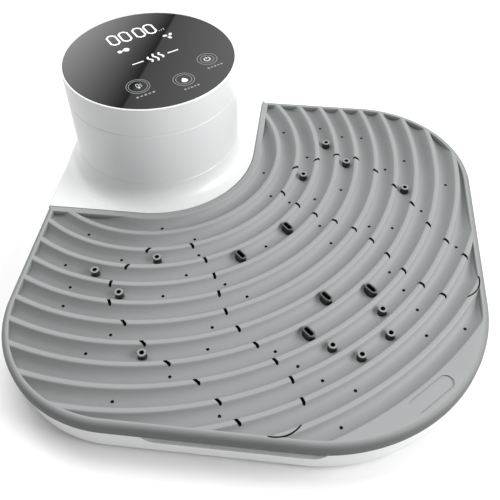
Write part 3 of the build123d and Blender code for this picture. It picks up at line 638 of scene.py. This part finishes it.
def finish_for(slot):
    """The finish of a material slot, made once."""
    known = bpy.data.materials.get("finish_" + slot)
    if known:
        return known
    if slot in METALS:
        finish = brushed(slot, *METALS[slot])
    elif slot in MOULDED:
        finish = moulded(slot, *MOULDED[slot])
    elif slot in FINISHES:
        finish = FINISHES[slot]()
    else:
        raise RuntimeError(f"no finish is written for the slot {slot}")
    finish.material.name = "finish_" + slot
    return finish.material


def dress(piece, slot, body):
    """Give a new piece its finish, its slot and the body it moves with."""
    piece.data.materials.clear()
    piece.data.materials.append(finish_for(slot))
    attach(piece, body)


# ---- the mat


def arc(middle, radius, start, end):
    """Points of an arc about a middle, both ends included, with angles in degrees."""
    count = round(abs(end - start) / ARC_STEP) + 1
    return middle + radius * rays(np.radians(np.linspace(start, end, count)))


def mat_path(inset, settings):
    """The mat's outline moved in by an inset, as places along the two diagonal axes. It runs
    from the corner by the deck round the outside and back round the deck; every inset gives
    the same number of points, because each arc keeps its middle. Also returns how many of
    the points belong to the outside."""
    setback = TOWER_RADIUS + settings.back_margin
    front = settings.side - setback
    reach = TOWER_RADIUS + settings.deck_margin
    side, nose = settings.side_corner, settings.front_corner
    runs = [
        np.array([[reach + inset, -setback + inset]]),
        arc(np.array([front - side, side - setback]), side - inset, -90, 0),
        arc(np.array([front - nose, front - nose]), nose - inset, 0, 90),
        arc(np.array([side - setback, front - side]), side - inset, 90, 180),
        np.array([[-setback + inset, reach + inset]]),
    ]
    outside = sum(len(run) for run in runs)
    runs.append(arc(np.zeros(2), reach + inset, 90, 0))
    return np.concatenate(runs), outside


def rim_profiles(settings, low, high):
    """The rim's section as (inset, level) pairs, with the skirt and without it. Both have the
    same points: up the outside, over the round edge, across, over the lip, and underneath."""
    under = low + settings.sheet_rise
    edge, lip, rim, skirt = settings.edge_radius, settings.lip_radius, settings.rim, settings.skirt
    turn = np.radians(np.linspace(180, 90, 9))
    over = np.radians(np.linspace(90, 0, 5))
    bevel = 0.35 * MM

    def section(foot, round_edge):
        outer = round_edge * rays(turn) + [round_edge, high - round_edge]
        inner = lip * rays(over) + [rim - lip, high - lip]
        start = [[skirt - bevel, foot], [bevel, foot], [0.0, foot + bevel]]
        end = [[rim, under], [skirt, under], [skirt, min(foot + bevel, under)]]
        return np.concatenate([start, outer, [[edge, high]], inner, end])

    return section(low, edge), section(under, 1.0 * MM)


def rim_solid(settings, low, high):
    """Rim and skirt: the section carried along the mat's outline. Each ring of points is the
    outline at the section's insets, and the section changes at the two corners by the deck.
    Also gives each point's share of the skirt's painted shade, which fades over the round."""
    with_skirt, plain = rim_profiles(settings, low, high)

    def sweep(section):
        rings = [mat_path(inset, settings)[0] for inset in section[:, 0]]
        flat = diagonal(*np.moveaxis(np.stack(rings, 1), -1, 0))
        level = np.broadcast_to(section[:, 1][None, :, None], (*flat.shape[:2], 1))
        return np.concatenate([flat, level], -1)

    outside = mat_path(0.0, settings)[1]
    outer, inner = sweep(with_skirt), sweep(plain)
    rings = np.concatenate([outer[:outside], inner[outside - 1 :], inner[:1]])
    shares = np.zeros(rings.shape[:2])
    foot, over = 3, 12  # first point of the round edge, and the one after its last
    shares[:outside, :foot] = 1.0
    shares[:outside, foot:over] = np.linspace(1, 0, over - foot) ** 0.7
    return rings.reshape(-1, 3), [quads(len(rings), rings.shape[1], True, True)], shares.ravel()


def rib_section(settings, under, high):
    """Radial section of the ribs, as (radius, level) pairs. Each valley is an arc of a circle
    through its two edges and its bottom; a smaller arc rounds it on to the flat crest."""
    half, depth, small = settings.valley_width / 2, settings.valley_depth, settings.crest_radius
    big = (half**2 + depth**2) / (2 * depth)
    rise = big - depth
    out = math.sqrt((big + small) ** 2 - (rise + small) ** 2)
    tip = math.asin(out / (big + small))
    bowl = np.linspace(-tip, tip, 13)
    valley = np.stack([big * np.sin(bowl), high + rise - big * np.cos(bowl)], -1)
    edge = np.linspace(0, tip, 5)[:-1]
    left = np.stack([-out + small * np.sin(edge), high - small + small * np.cos(edge)], -1)
    right = left[::-1] * [-1, 1]
    one = np.concatenate([left, valley, right])
    middles = valley_radius(np.arange(settings.valleys), settings)
    ribs = one[None] + np.stack([middles, np.zeros_like(middles)], -1)[:, None]
    ribs = ribs.reshape(-1, 2)
    near, far = TOWER_RADIUS, ribs[-1, 0] + 60 * MM
    ends = [[near, high]], ribs, [[far, high], [far, under], [near, under]]
    return np.concatenate(ends)


def rib_solid(settings, under, high):
    """Ribs as a sector: the radial section turned about the tower's axis, closed at both ends."""
    section = rib_section(settings, under, high)
    way = turned(np.arange(-96.0, 96.1, 1.5))
    points = np.empty((len(way), len(section), 3))
    points[..., :2] = TOWER_AXIS + way[:, None] * section[None, :, :1]
    points[..., 2] = section[:, 1]
    last = (len(way) - 1) * len(section)
    ends = [[np.arange(len(section)).tolist()], [(last + np.arange(len(section)))[::-1].tolist()]]
    return points.reshape(-1, 3), [quads(len(way), len(section), close_columns=True), *ends]


def on_both_sides(pattern):
    """(number, angle) pairs on both sides, and those straight ahead once, as two arrays."""
    both = [(n, s * a) for n, a in pattern for s in ((1,) if a == 0 else (-1, 1))]
    return np.array(both).T


def valley_radius(number, settings):
    """Distance of a valley's middle from the tower's axis; a half number is a crest."""
    first = TOWER_RADIUS + settings.deck_margin + settings.rim + settings.land
    return first + settings.valley_width / 2 + settings.pitch * number


def hole_places(settings):
    """Middles of the air holes."""
    number, angle = on_both_sides(AIR_HOLES)
    return TOWER_AXIS + valley_radius(number, settings)[:, None] * turned(angle)


def slit_outlines(settings):
    """Each slit crosses a crest, turned in line with the slits before and after it."""
    outlines = []
    shape = stadium(settings.slit_length, settings.slit_width, 16)
    for angles in (OUTER_SLITS, INNER_SLITS):
        radius = valley_radius(np.arange(len(angles)) + 1.5, settings)[:, None]
        for side in (-1, 1):
            line = TOWER_AXIS + radius * turned(side * np.array(angles))
            way = np.gradient(line, axis=0)
            way /= np.linalg.norm(way, axis=1)[:, None]
            across = np.stack([-way[:, 1], way[:, 0]], -1)
            axes = np.stack([way, across], 1)
            outlines.append(line[:, None] + shape[None] @ axes)
    return np.concatenate(outlines)


def tab_outlines(settings):
    """Two curved slits: a band of constant width along an arc, with round ends."""
    front = settings.side - TOWER_RADIUS - settings.back_margin
    middle = diagonal(front - settings.tab_margin, settings.tab_along) - TOWER_AXIS
    facing = math.atan2(middle[1], middle[0])
    sweep, half, radius = math.radians(35), settings.tab_slit / 2, settings.tab_radius
    along = np.linspace(-sweep, sweep, 21)
    way = rays(along)
    tip = half * rays(np.linspace(0, math.pi, 7)[1:-1])
    outline = np.concatenate([
        (radius + half) * way,
        radius * way[-1] + swung(tip, sweep),
        (radius - half) * way[::-1],
        radius * way[0] - swung(tip, -sweep),
    ])
    right = middle + swung(outline, facing)
    left = right[::-1] * [-1, 1]
    return TOWER_AXIS + np.stack([right, left])


def nozzle_room(settings, under, high):
    """Cutters for the nozzles' walls through the mat and for the flanges under it."""
    clear, flange = settings.clearance, under + settings.flange + settings.clearance
    cutters = []
    for names, corners in ((ROUND_NOZZLES, 32), (OVAL_NOZZLES, 40)):
        boxes = np.array([node_box(name) for name in names])
        places, size = boxes.mean(1)[:, :2], (boxes[0, 1] - boxes[0, 0])[:2]
        for grow, top in ((clear, high + PAST), (settings.overhang + clear, flange)):
            wide = size - 2 * settings.overhang + 2 * grow
            shape = stadium(wide[1], wide[0] - SLIVER, corners, math.pi / 2)
            cutters.append(prisms(places[:, None] + shape, under - PAST, top))
    return cutters


class TRAY_OT_mat(Operator):
    """Ribbed silicone mat with its rim, skirt, holes and slits"""

    bl_idname = "tray.mat"
    bl_label = "Ribbed mat"

    def execute(self, context):
        settings = context.scene.tray_mat
        low, high = float(MAT_LOW[2]), float(MAT_HIGH[2])
        under = low + settings.sheet_rise
        mat = new_piece("silicone_mat", *rib_solid(settings, under, high))
        mend(mat.data)
        inner = (settings.edge_radius + settings.rim - settings.lip_radius) / 2
        outline = diagonal(*mat_path(inner, settings)[0].T)
        border = new_piece("mat_border", *prisms([outline], under - PAST, high + PAST))
        mend(border.data)
        boolean(mat, border, "INTERSECT")
        points, faces, shares = rim_solid(settings, low, high)
        rim = new_piece("mat_rim", points, faces)
        # Each point's share of the painted shade on the skirt.
        tag(rim, "skirt", "POINT", shares)
        mend(rim.data)
        boolean(mat, rim, "UNION")
        holes = hole_places(settings)[:, None] + circle(settings.hole_radius, 20)
        outlines = (holes, slit_outlines(settings), tab_outlines(settings))
        cutters = [prisms(each, under - PAST, high + PAST) for each in outlines]
        for points, faces in cutters + nozzle_room(context.scene.tray_nozzles, under, high):
            cutter = new_piece("mat_cutter", points, faces)
            # Painted shade: the cutters' faces colour the insides of the holes and slits dark.
            tag(cutter, "cut", "FACE", np.ones(len(cutter.data.polygons)))
            boolean(mat, cutter, "DIFFERENCE")
        pill = stadium(settings.pill_length, settings.pill_width, 48)
        pill += [TOWER_AXIS[0], float(MAT_LOW[1]) + settings.pill_margin]
        recess = new_piece("mat_recess", *prisms([pill], high - settings.pill_depth, high + PAST))
        boolean(mat, recess, "DIFFERENCE")
        mend(mat.data, 2e-7)
        shade(mat.data, 32)
        dress(mat, "grey_silicone", "mat")
        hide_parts("ribbed_mat")
        return {"FINISHED"}


# ---- nozzles


def nozzle_shape(box_low, box_high, settings, wall, count):
    """A nozzle as rings of points: the outline of a slot or circle at each (outset, level) of
    the section, from the flange up the waisted wall, over the lip and down the bore. Also
    gives each point's share of the top ring's painted highlight."""
    low, high = box_low[2], box_high[2]
    lip, inner_lip = settings.lip, 0.4 * settings.lip
    body_low = low + settings.flange
    climb = np.linspace(0, 1, 7)
    waist = settings.waist * np.sin(np.pi * climb)
    outer = lip * rays(np.radians(np.linspace(180, 90, 5)))[1:] + [lip, high - lip]
    inner = inner_lip * rays(np.radians(np.linspace(90, 0, 4)))
    inner += [wall - inner_lip, high - inner_lip]
    section = np.concatenate([
        [[-settings.overhang, low], [-settings.overhang, body_low]],
        np.stack([waist, body_low + climb * (high - lip - body_low)], -1),
        outer,
        inner,
        [[wall, high - 1.5 * MM], [wall, low]],
    ])
    start = 2 + len(climb)  # first point of the lip, which keeps the wall's tone
    ring = np.zeros(len(section))
    ring[start + 1 : start + len(outer) + len(inner) - 1] = 1.0
    size = (box_high - box_low)[:2] - 2 * settings.overhang
    points = np.empty((len(section), count, 3))
    for row, (inset, level) in enumerate(section):
        wide, long = size - 2 * inset
        points[row, :, :2] = stadium(long, wide - SLIVER, count, math.pi / 2)
        points[row, :, 2] = level
    points[..., :2] += (box_low + box_high)[:2] / 2
    return points, np.repeat(ring, count)


class TRAY_OT_nozzles(Operator):
    """Round and oval air nozzles, one piece each"""

    bl_idname = "tray.nozzles"
    bl_label = "Air nozzles"

    def execute(self, context):
        settings = context.scene.tray_nozzles
        # Names, width of the top ring, corners, and the strength of the ring's painted highlight.
        kinds = (
            (ROUND_NOZZLES, settings.wall, 40, 1.0),
            (OVAL_NOZZLES, settings.oval_wall, 56, 0.35),
        )
        for names, wall, count, highlight_share in kinds:
            for name in names:
                low, high = node_box(name)
                points, shares = nozzle_shape(low, high, settings, wall, count)
                faces = [quads(len(points), count, True, True)[:, ::-1]]
                piece = new_piece("air_" + name, points, faces)
                shade(piece.data, 40)
                tag(piece, "ring", "POINT", shares * highlight_share)
                dress(piece, "nozzle_resin", "mat")
                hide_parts(name)
        return {"FINISHED"}


# ---- printed marks


def band(points, width, closed=False):
    """Both sides of a flat line of constant width: each point is moved half the width to
    either side, along the mean normal of its two runs."""
    points = np.asarray(points, float)
    if closed:
        before, after = np.roll(points, 1, 0), np.roll(points, -1, 0)
    else:
        before = np.concatenate([points[:1] * 2 - points[1:2], points[:-1]])
        after = np.concatenate([points[1:], points[-1:] * 2 - points[-2:-1]])
    one, two = points - before, after - points
    one /= np.linalg.norm(one, axis=1)[:, None]
    two /= np.linalg.norm(two, axis=1)[:, None]
    middle = one + two
    middle /= np.linalg.norm(middle, axis=1)[:, None]
    normal = np.stack([-middle[:, 1], middle[:, 0]], -1)
    reach = width / 2 / np.maximum((middle * one).sum(1), 0.4)
    return np.stack([points - normal * reach[:, None], points + normal * reach[:, None]], 1)


def band_solid(points, width, low, high, closed=False):
    """The flat line given a thickness: a four-cornered section at each point."""
    sides = band(points, width, closed)
    ring = np.empty((len(sides), 4, 3))
    ring[:, :, :2] = sides[:, [0, 1, 1, 0]]
    ring[:, :2, 2], ring[:, 2:, 2] = low, high
    faces = [quads(len(ring), 4, closed, True)]
    if not closed:
        last = 4 * (len(ring) - 1)
        faces += [[[0, 1, 2, 3]], [[last + 3, last + 2, last + 1, last]]]
    return ring.reshape(-1, 3), faces


def digit_line(wide, tall, cut):
    """Outline of a zero with cut corners."""
    x, y = wide / 2, tall / 2
    return np.array([
        (-x, y - cut), (-x + cut, y), (x - cut, y), (x, y - cut),
        (x, cut - y), (x - cut, -y), (cut - x, -y), (-x, cut - y),
    ])


def wave(long, tall, count=25):
    """A rising warm-air line: one full sine along its length."""
    share = np.linspace(0, 1, count)
    return np.stack([tall * np.sin(2 * np.pi * share), long * (share - 0.5)], -1)


class TRAY_OT_marks(Operator):
    """Digits, touch rings and small signs printed on the glass"""

    bl_idname = "tray.marks"
    bl_label = "Printed marks"

    def execute(self, context):
        settings, unit = context.scene.tray_marks, MARK_UNIT
        low, high = float(GLASS_HIGH[2]) - 0.02 * MM, float(GLASS_HIGH[2]) + settings.rise
        parts, tones = [], []

        def placed(points, place):
            return swung(np.asarray(points), settings.tilt) + np.asarray(place) * unit + TOWER_AXIS

        def keep(part, tone):
            parts.append(part)
            tones.append(np.full(sum(len(face) for face in part[1]), tone))

        def line(points, place, width, closed=False, tone=0.0):
            keep(band_solid(placed(points, place), width, low, high, closed), tone)

        def patch(points, place, tone=0.0):
            keep(prisms([placed(points, place)], low, high), tone)

        for place in ((-0.103, 0.421), (0.011, 0.409), (0.142, 0.390), (0.250, 0.380)):
            digit = digit_line(0.080 * unit, 0.155 * unit, 0.024 * unit)
            line(digit, place, settings.stroke, True)
        # Small signs beside and under the digits: a dry level, two warm dots, a fan.
        for number in range(3):
            tick = np.array([(0, -0.010), (0, 0.006 + 0.006 * number)]) * unit
            line(tick, (0.304 + 0.022 * number, 0.303 - 0.002 * number), 0.009 * unit, tone=1.0)
        patch(circle(0.021 * unit, 20), (-0.152, 0.226))
        patch(circle(0.027 * unit, 24), (-0.090, 0.222))
        line([(-0.03 * unit, 0), (0.03 * unit, 0)], (-0.122, 0.224), 0.012 * unit)
        for turn in (30, 150, 270):
            petal = stadium(0.044 * unit, 0.028 * unit, 20, math.radians(turn + 22))
            patch(petal + 0.030 * unit * rays(math.radians(turn)), (0.319, 0.180), 0.35)
        # Rising warm air, in the middle of the glass.
        for number, tall in enumerate((0.085, 0.115, 0.085)):
            place = (0.045 + 0.055 * (number - 1), -0.033)
            line(wave(tall * unit, 0.012 * unit), place, 0.016 * unit)
        for side in (-1, 1):
            run = np.array([(-0.052, 0.0), (0.052, 0.0)]) * unit
            line(run, (0.045 + 0.165 * side, -0.033 - 0.019 * side), 0.012 * unit)
        # Touch rings, the sign in each, and a short bar row under each.
        rings = (
            ((-0.301, -0.301), 0.1015, 0.082, (-0.313, -0.437), 0.18),
            ((0.046, -0.454), 0.093, 0.070, (0.037, -0.584), 0.15),
            ((0.371, -0.334), 0.089, 0.062, (0.363, -0.460), 0.155),
        )
        lean, dashes = swung(np.array([1.0, 0.0]), settings.tilt), 5
        for place, outer, inner, caption, wide in rings:
            for radius in (outer, inner):
                line(circle((radius - 0.004) * unit, 64), place, settings.fine, True, 1.0)
            for number in range(dashes):
                shift = (number - (dashes - 1) / 2) * wide / dashes
                dash = np.array([(-0.30, 0), (0.30, 0)]) * wide / dashes * unit
                thick = 0.013 if number % 2 else 0.018
                line(dash, caption + shift * lean, thick * unit, tone=1.0)
        self.signs(unit, line, patch, rings)
        points, faces = joined(parts)
        marks = new_piece("panel_marks", points, faces)
        tag(marks, "faint", "FACE", np.concatenate(tones))
        mend(marks.data, 1e-8)
        dress(marks, "panel_print", "housing")
        return {"FINISHED"}

    @staticmethod
    def signs(unit, line, patch, rings):
        """Thermometer, warm drop and power sign, inside the three rings."""
        warm, drop, power = (ring[0] for ring in rings)
        bulb = 0.014 * unit
        stem = stadium(0.066 * unit, 0.022 * unit, 24, math.pi / 2)
        line(stem, warm, 0.005 * unit, True, 0.6)
        patch(circle(bulb, 20) + [0, -0.020 * unit], warm, 0.6)
        for number in range(3):
            tick = np.array([(0.020, 0.0), (0.034, 0.0)]) * unit
            line(tick + [0, (0.020 - 0.016 * number) * unit], warm, 0.005 * unit, tone=0.6)
        share = np.linspace(0, 2 * math.pi, 33)[:-1]
        radius = 0.024 * unit
        shape = np.stack([radius * np.sin(share) * (1 - 0.45 * np.cos(share)),
                          radius * 1.25 * np.cos(share)], -1)
        patch(shape[::-1] + [0, -0.010 * unit], drop)
        ring = 0.026 * unit * rays(np.radians(np.linspace(125, 415, 28)))
        line(ring, power, 0.009 * unit, tone=0.4)
        line(np.array([(0, 0.006), (0, 0.032)]) * unit, power, 0.009 * unit, tone=0.4)


# ---- carried-over nodes


class TRAY_OT_finishes(Operator):
    """Procedural finishes on the pieces that keep their CAD mesh"""

    bl_idname = "tray.finishes"
    bl_label = "Finishes"

    def execute(self, context):
        for part in frame["record"]["subparts"]:
            piece = frame["nodes"][part["node"]]
            material = finish_for(part["material_slot"])
            for slot in piece.material_slots:
                slot.material = material
        return {"FINISHED"}


# ---- stage


def look_from(azimuth, elevation, roll):
    """The camera's turn: raised from the floor, swung round from -Y, and rolled."""
    raised = Matrix.Rotation(math.pi / 2 - elevation, 4, "X")
    return Matrix.Rotation(azimuth, 4, "Z") @ raised @ Matrix.Rotation(roll, 4, "Z")


def softbox(name, place, target, size, power):
    """A square area light that faces a point."""
    light = bpy.data.lights.new(name, "AREA")
    light.shape, light.size, light.energy = "SQUARE", size, power
    lamp = bpy.data.objects.new(name, light)
    bpy.context.scene.collection.objects.link(lamp)
    lamp.location = place
    lamp.rotation_euler = (Vector(place) - Vector(target)).to_track_quat("Z", "Y").to_euler()
    return lamp


class TRAY_OT_stage(Operator):
    """Camera, pale floor, soft light and light cards for the glass"""

    bl_idname = "tray.stage"
    bl_label = "Stage"

    def execute(self, context):
        scene, settings = context.scene, context.scene.tray_stage
        scene.view_settings.view_transform = "Standard"
        scene.view_settings.look = "None"
        self.camera(scene, settings)
        self.floor()
        self.light(scene, settings)
        self.card(settings)
        return {"FINISHED"}

    def camera(self, scene, settings):
        """The camera, placed from the tower's axis and the level of the crests."""
        data = bpy.data.cameras.new("stage_camera")
        data.lens, data.sensor_width, data.clip_end = settings.lens, 36.0, 20.0
        camera = bpy.data.objects.new("stage_camera", data)
        scene.collection.objects.link(camera)
        turn = look_from(settings.azimuth, settings.elevation, settings.roll)
        origin = Vector((*TOWER_AXIS, MAT_HIGH[2]))
        camera.matrix_world = Matrix.Translation(origin + Vector(settings.place)) @ turn
        scene.camera = camera

    def floor(self):
        """A wide pale round of paper."""
        rim = circle(FLOOR_RADIUS, 64)
        points = np.column_stack([rim, np.zeros(len(rim))])
        floor = new_piece("stage_floor", points, [[list(range(len(rim)))]])
        pale, paler = (0.89, 0.89, 0.89), (0.91, 0.91, 0.91)
        finish = Finish("stage_paper", pale, 0.9)
        finish.set("Base Color", finish.mix(finish.noise(3.0), pale, paler))
        floor.data.materials.append(finish.material)

    def light(self, scene, settings):
        """Even fill from all round, and three softboxes: right, left and overhead."""
        world = bpy.data.worlds.new("stage_world")
        world.use_nodes = True
        background = world.node_tree.nodes["Background"]
        background.inputs["Color"].default_value = (1.0, 1.0, 1.0, 1.0)
        background.inputs["Strength"].default_value = settings.fill
        scene.world = world
        right = Vector((math.cos(settings.azimuth), math.sin(settings.azimuth), 0.0))
        ahead = Vector((-right.y, right.x, 0.0))
        middle = Vector((0.0, 0.0, 0.03))
        boxes = (
            ("stage_key", 1.15 * right - 0.30 * ahead + Vector((0, 0, 0.8)), 0.8, settings.key),
            ("stage_side", -1.0 * right + 0.95 * ahead + Vector((0, 0, 0.8)), 0.8, settings.side),
            ("stage_top", -0.1 * right + 0.45 * ahead + Vector((0, 0, 1.4)), 0.9, settings.top),
        )
        for name, place, size, power in boxes:
            lamp = softbox(name, middle + place, middle, size, power)
            lamp.visible_glossy = name != "stage_top"

    def card(self, settings):
        """Two cards that only the gloss sees, which meet along a line across the reflection in
        the glass, and are brighter away from it. They lie level over the glass; each corner is
        a place on the glass, carried on from the camera's mirror image."""
        upper = [(0.70, 0.54), (-0.62, -0.526), (-1.05, -0.45), (-0.9, 0.9), (0.6, 1.0)]
        lower = [(-0.62, -0.526), (0.70, 0.54), (1.1, 0.3), (0.9, -1.0), (-0.4, -1.1)]
        self.one_card("stage_card_left", upper, 0.0, settings.card)
        self.one_card("stage_card_right", lower, 0.20 * settings.card, 0.50 * settings.card)

    def one_card(self, name, corners, near, far_off):
        """One card, with the strength of its glow at its first edge and far from it."""
        top = float(GLASS_HIGH[2])
        camera = np.array(bpy.context.scene.camera.location)
        reach = CARD_RISE / (camera[2] - top)
        edge = np.array(corners) * MARK_UNIT + TOWER_AXIS
        far = edge + (edge - camera[:2]) * reach
        points = np.column_stack([far, np.full(len(far), top + CARD_RISE)])
        card = new_piece(name, points, [[list(range(len(far)))]])
        way = far[1] - far[0]
        normal = np.array([way[1], -way[0]]) / np.linalg.norm(way)
        if normal @ (far[3] - far[0]) < 0:
            normal = -normal
        start = float(normal @ far[0])
        finish = Finish("stage_glow", (1.0, 1.0, 1.0), 1.0)
        inputs = {0: finish.place, 1: (*normal, 0.0)}
        across = finish.node("VectorMath", inputs, "Value", operation="DOT_PRODUCT")
        wide = 0.75 * MARK_UNIT * (1 + reach)
        levels = {"From Min": start, "From Max": start + wide, "To Min": near, "To Max": far_off}
        ramp = finish.node("MapRange", {"Value": across, **levels})
        glow = finish.node("Emission", {"Strength": ramp})
        finish.tree.nodes.remove(finish.shader)
        finish.plug(finish.tree.nodes["Material Output"].inputs["Surface"], glow)
        card.data.materials.append(finish.material)
        card.visible_camera = card.visible_diffuse = card.visible_shadow = False
        card.visible_transmission = card.visible_volume_scatter = False


# ---- panel and start


STEPS = (TRAY_OT_stage, TRAY_OT_finishes, TRAY_OT_mat, TRAY_OT_nozzles, TRAY_OT_marks)
GROUPS = {
    "tray_stage": StageSettings,
    "tray_shell": ShellSettings,
    "tray_mat": MatSettings,
    "tray_nozzles": NozzleSettings,
    "tray_marks": MarkSettings,
}


class TRAY_PT_sidebar(Panel):
    """Sizes, colours and steps of the drying tray"""

    bl_idname = "TRAY_PT_sidebar"
    bl_label = "Drying tray"
    bl_space_type = "VIEW_3D"
    bl_region_type = "UI"
    bl_category = "Drying tray"

    def draw(self, context):
        for step in STEPS:
            self.layout.operator(step.bl_idname)
        for name, group in GROUPS.items():
            box = self.layout.box()
            box.label(text=group.__doc__.split(".")[0])
            for key in group.__annotations__:
                box.prop(getattr(context.scene, name), key)


def register():
    """Register the settings, steps and panel."""
    for name, group in GROUPS.items():
        bpy.utils.register_class(group)
        setattr(bpy.types.Scene, name, PointerProperty(type=group))
    for made in (*STEPS, TRAY_PT_sidebar):
        bpy.utils.register_class(made)


def unregister():
    """Take everything off again, last first."""
    for made in reversed((*STEPS, TRAY_PT_sidebar)):
        bpy.utils.unregister_class(made)
    for name in reversed(GROUPS):
        delattr(bpy.types.Scene, name)
        bpy.utils.unregister_class(GROUPS[name])


def main():
    """Build everything in order."""
    register()
    for step in STEPS:
        group, name = step.bl_idname.split(".")
        getattr(getattr(bpy.ops, group), name)()


if __name__ == "__main__":
    main()
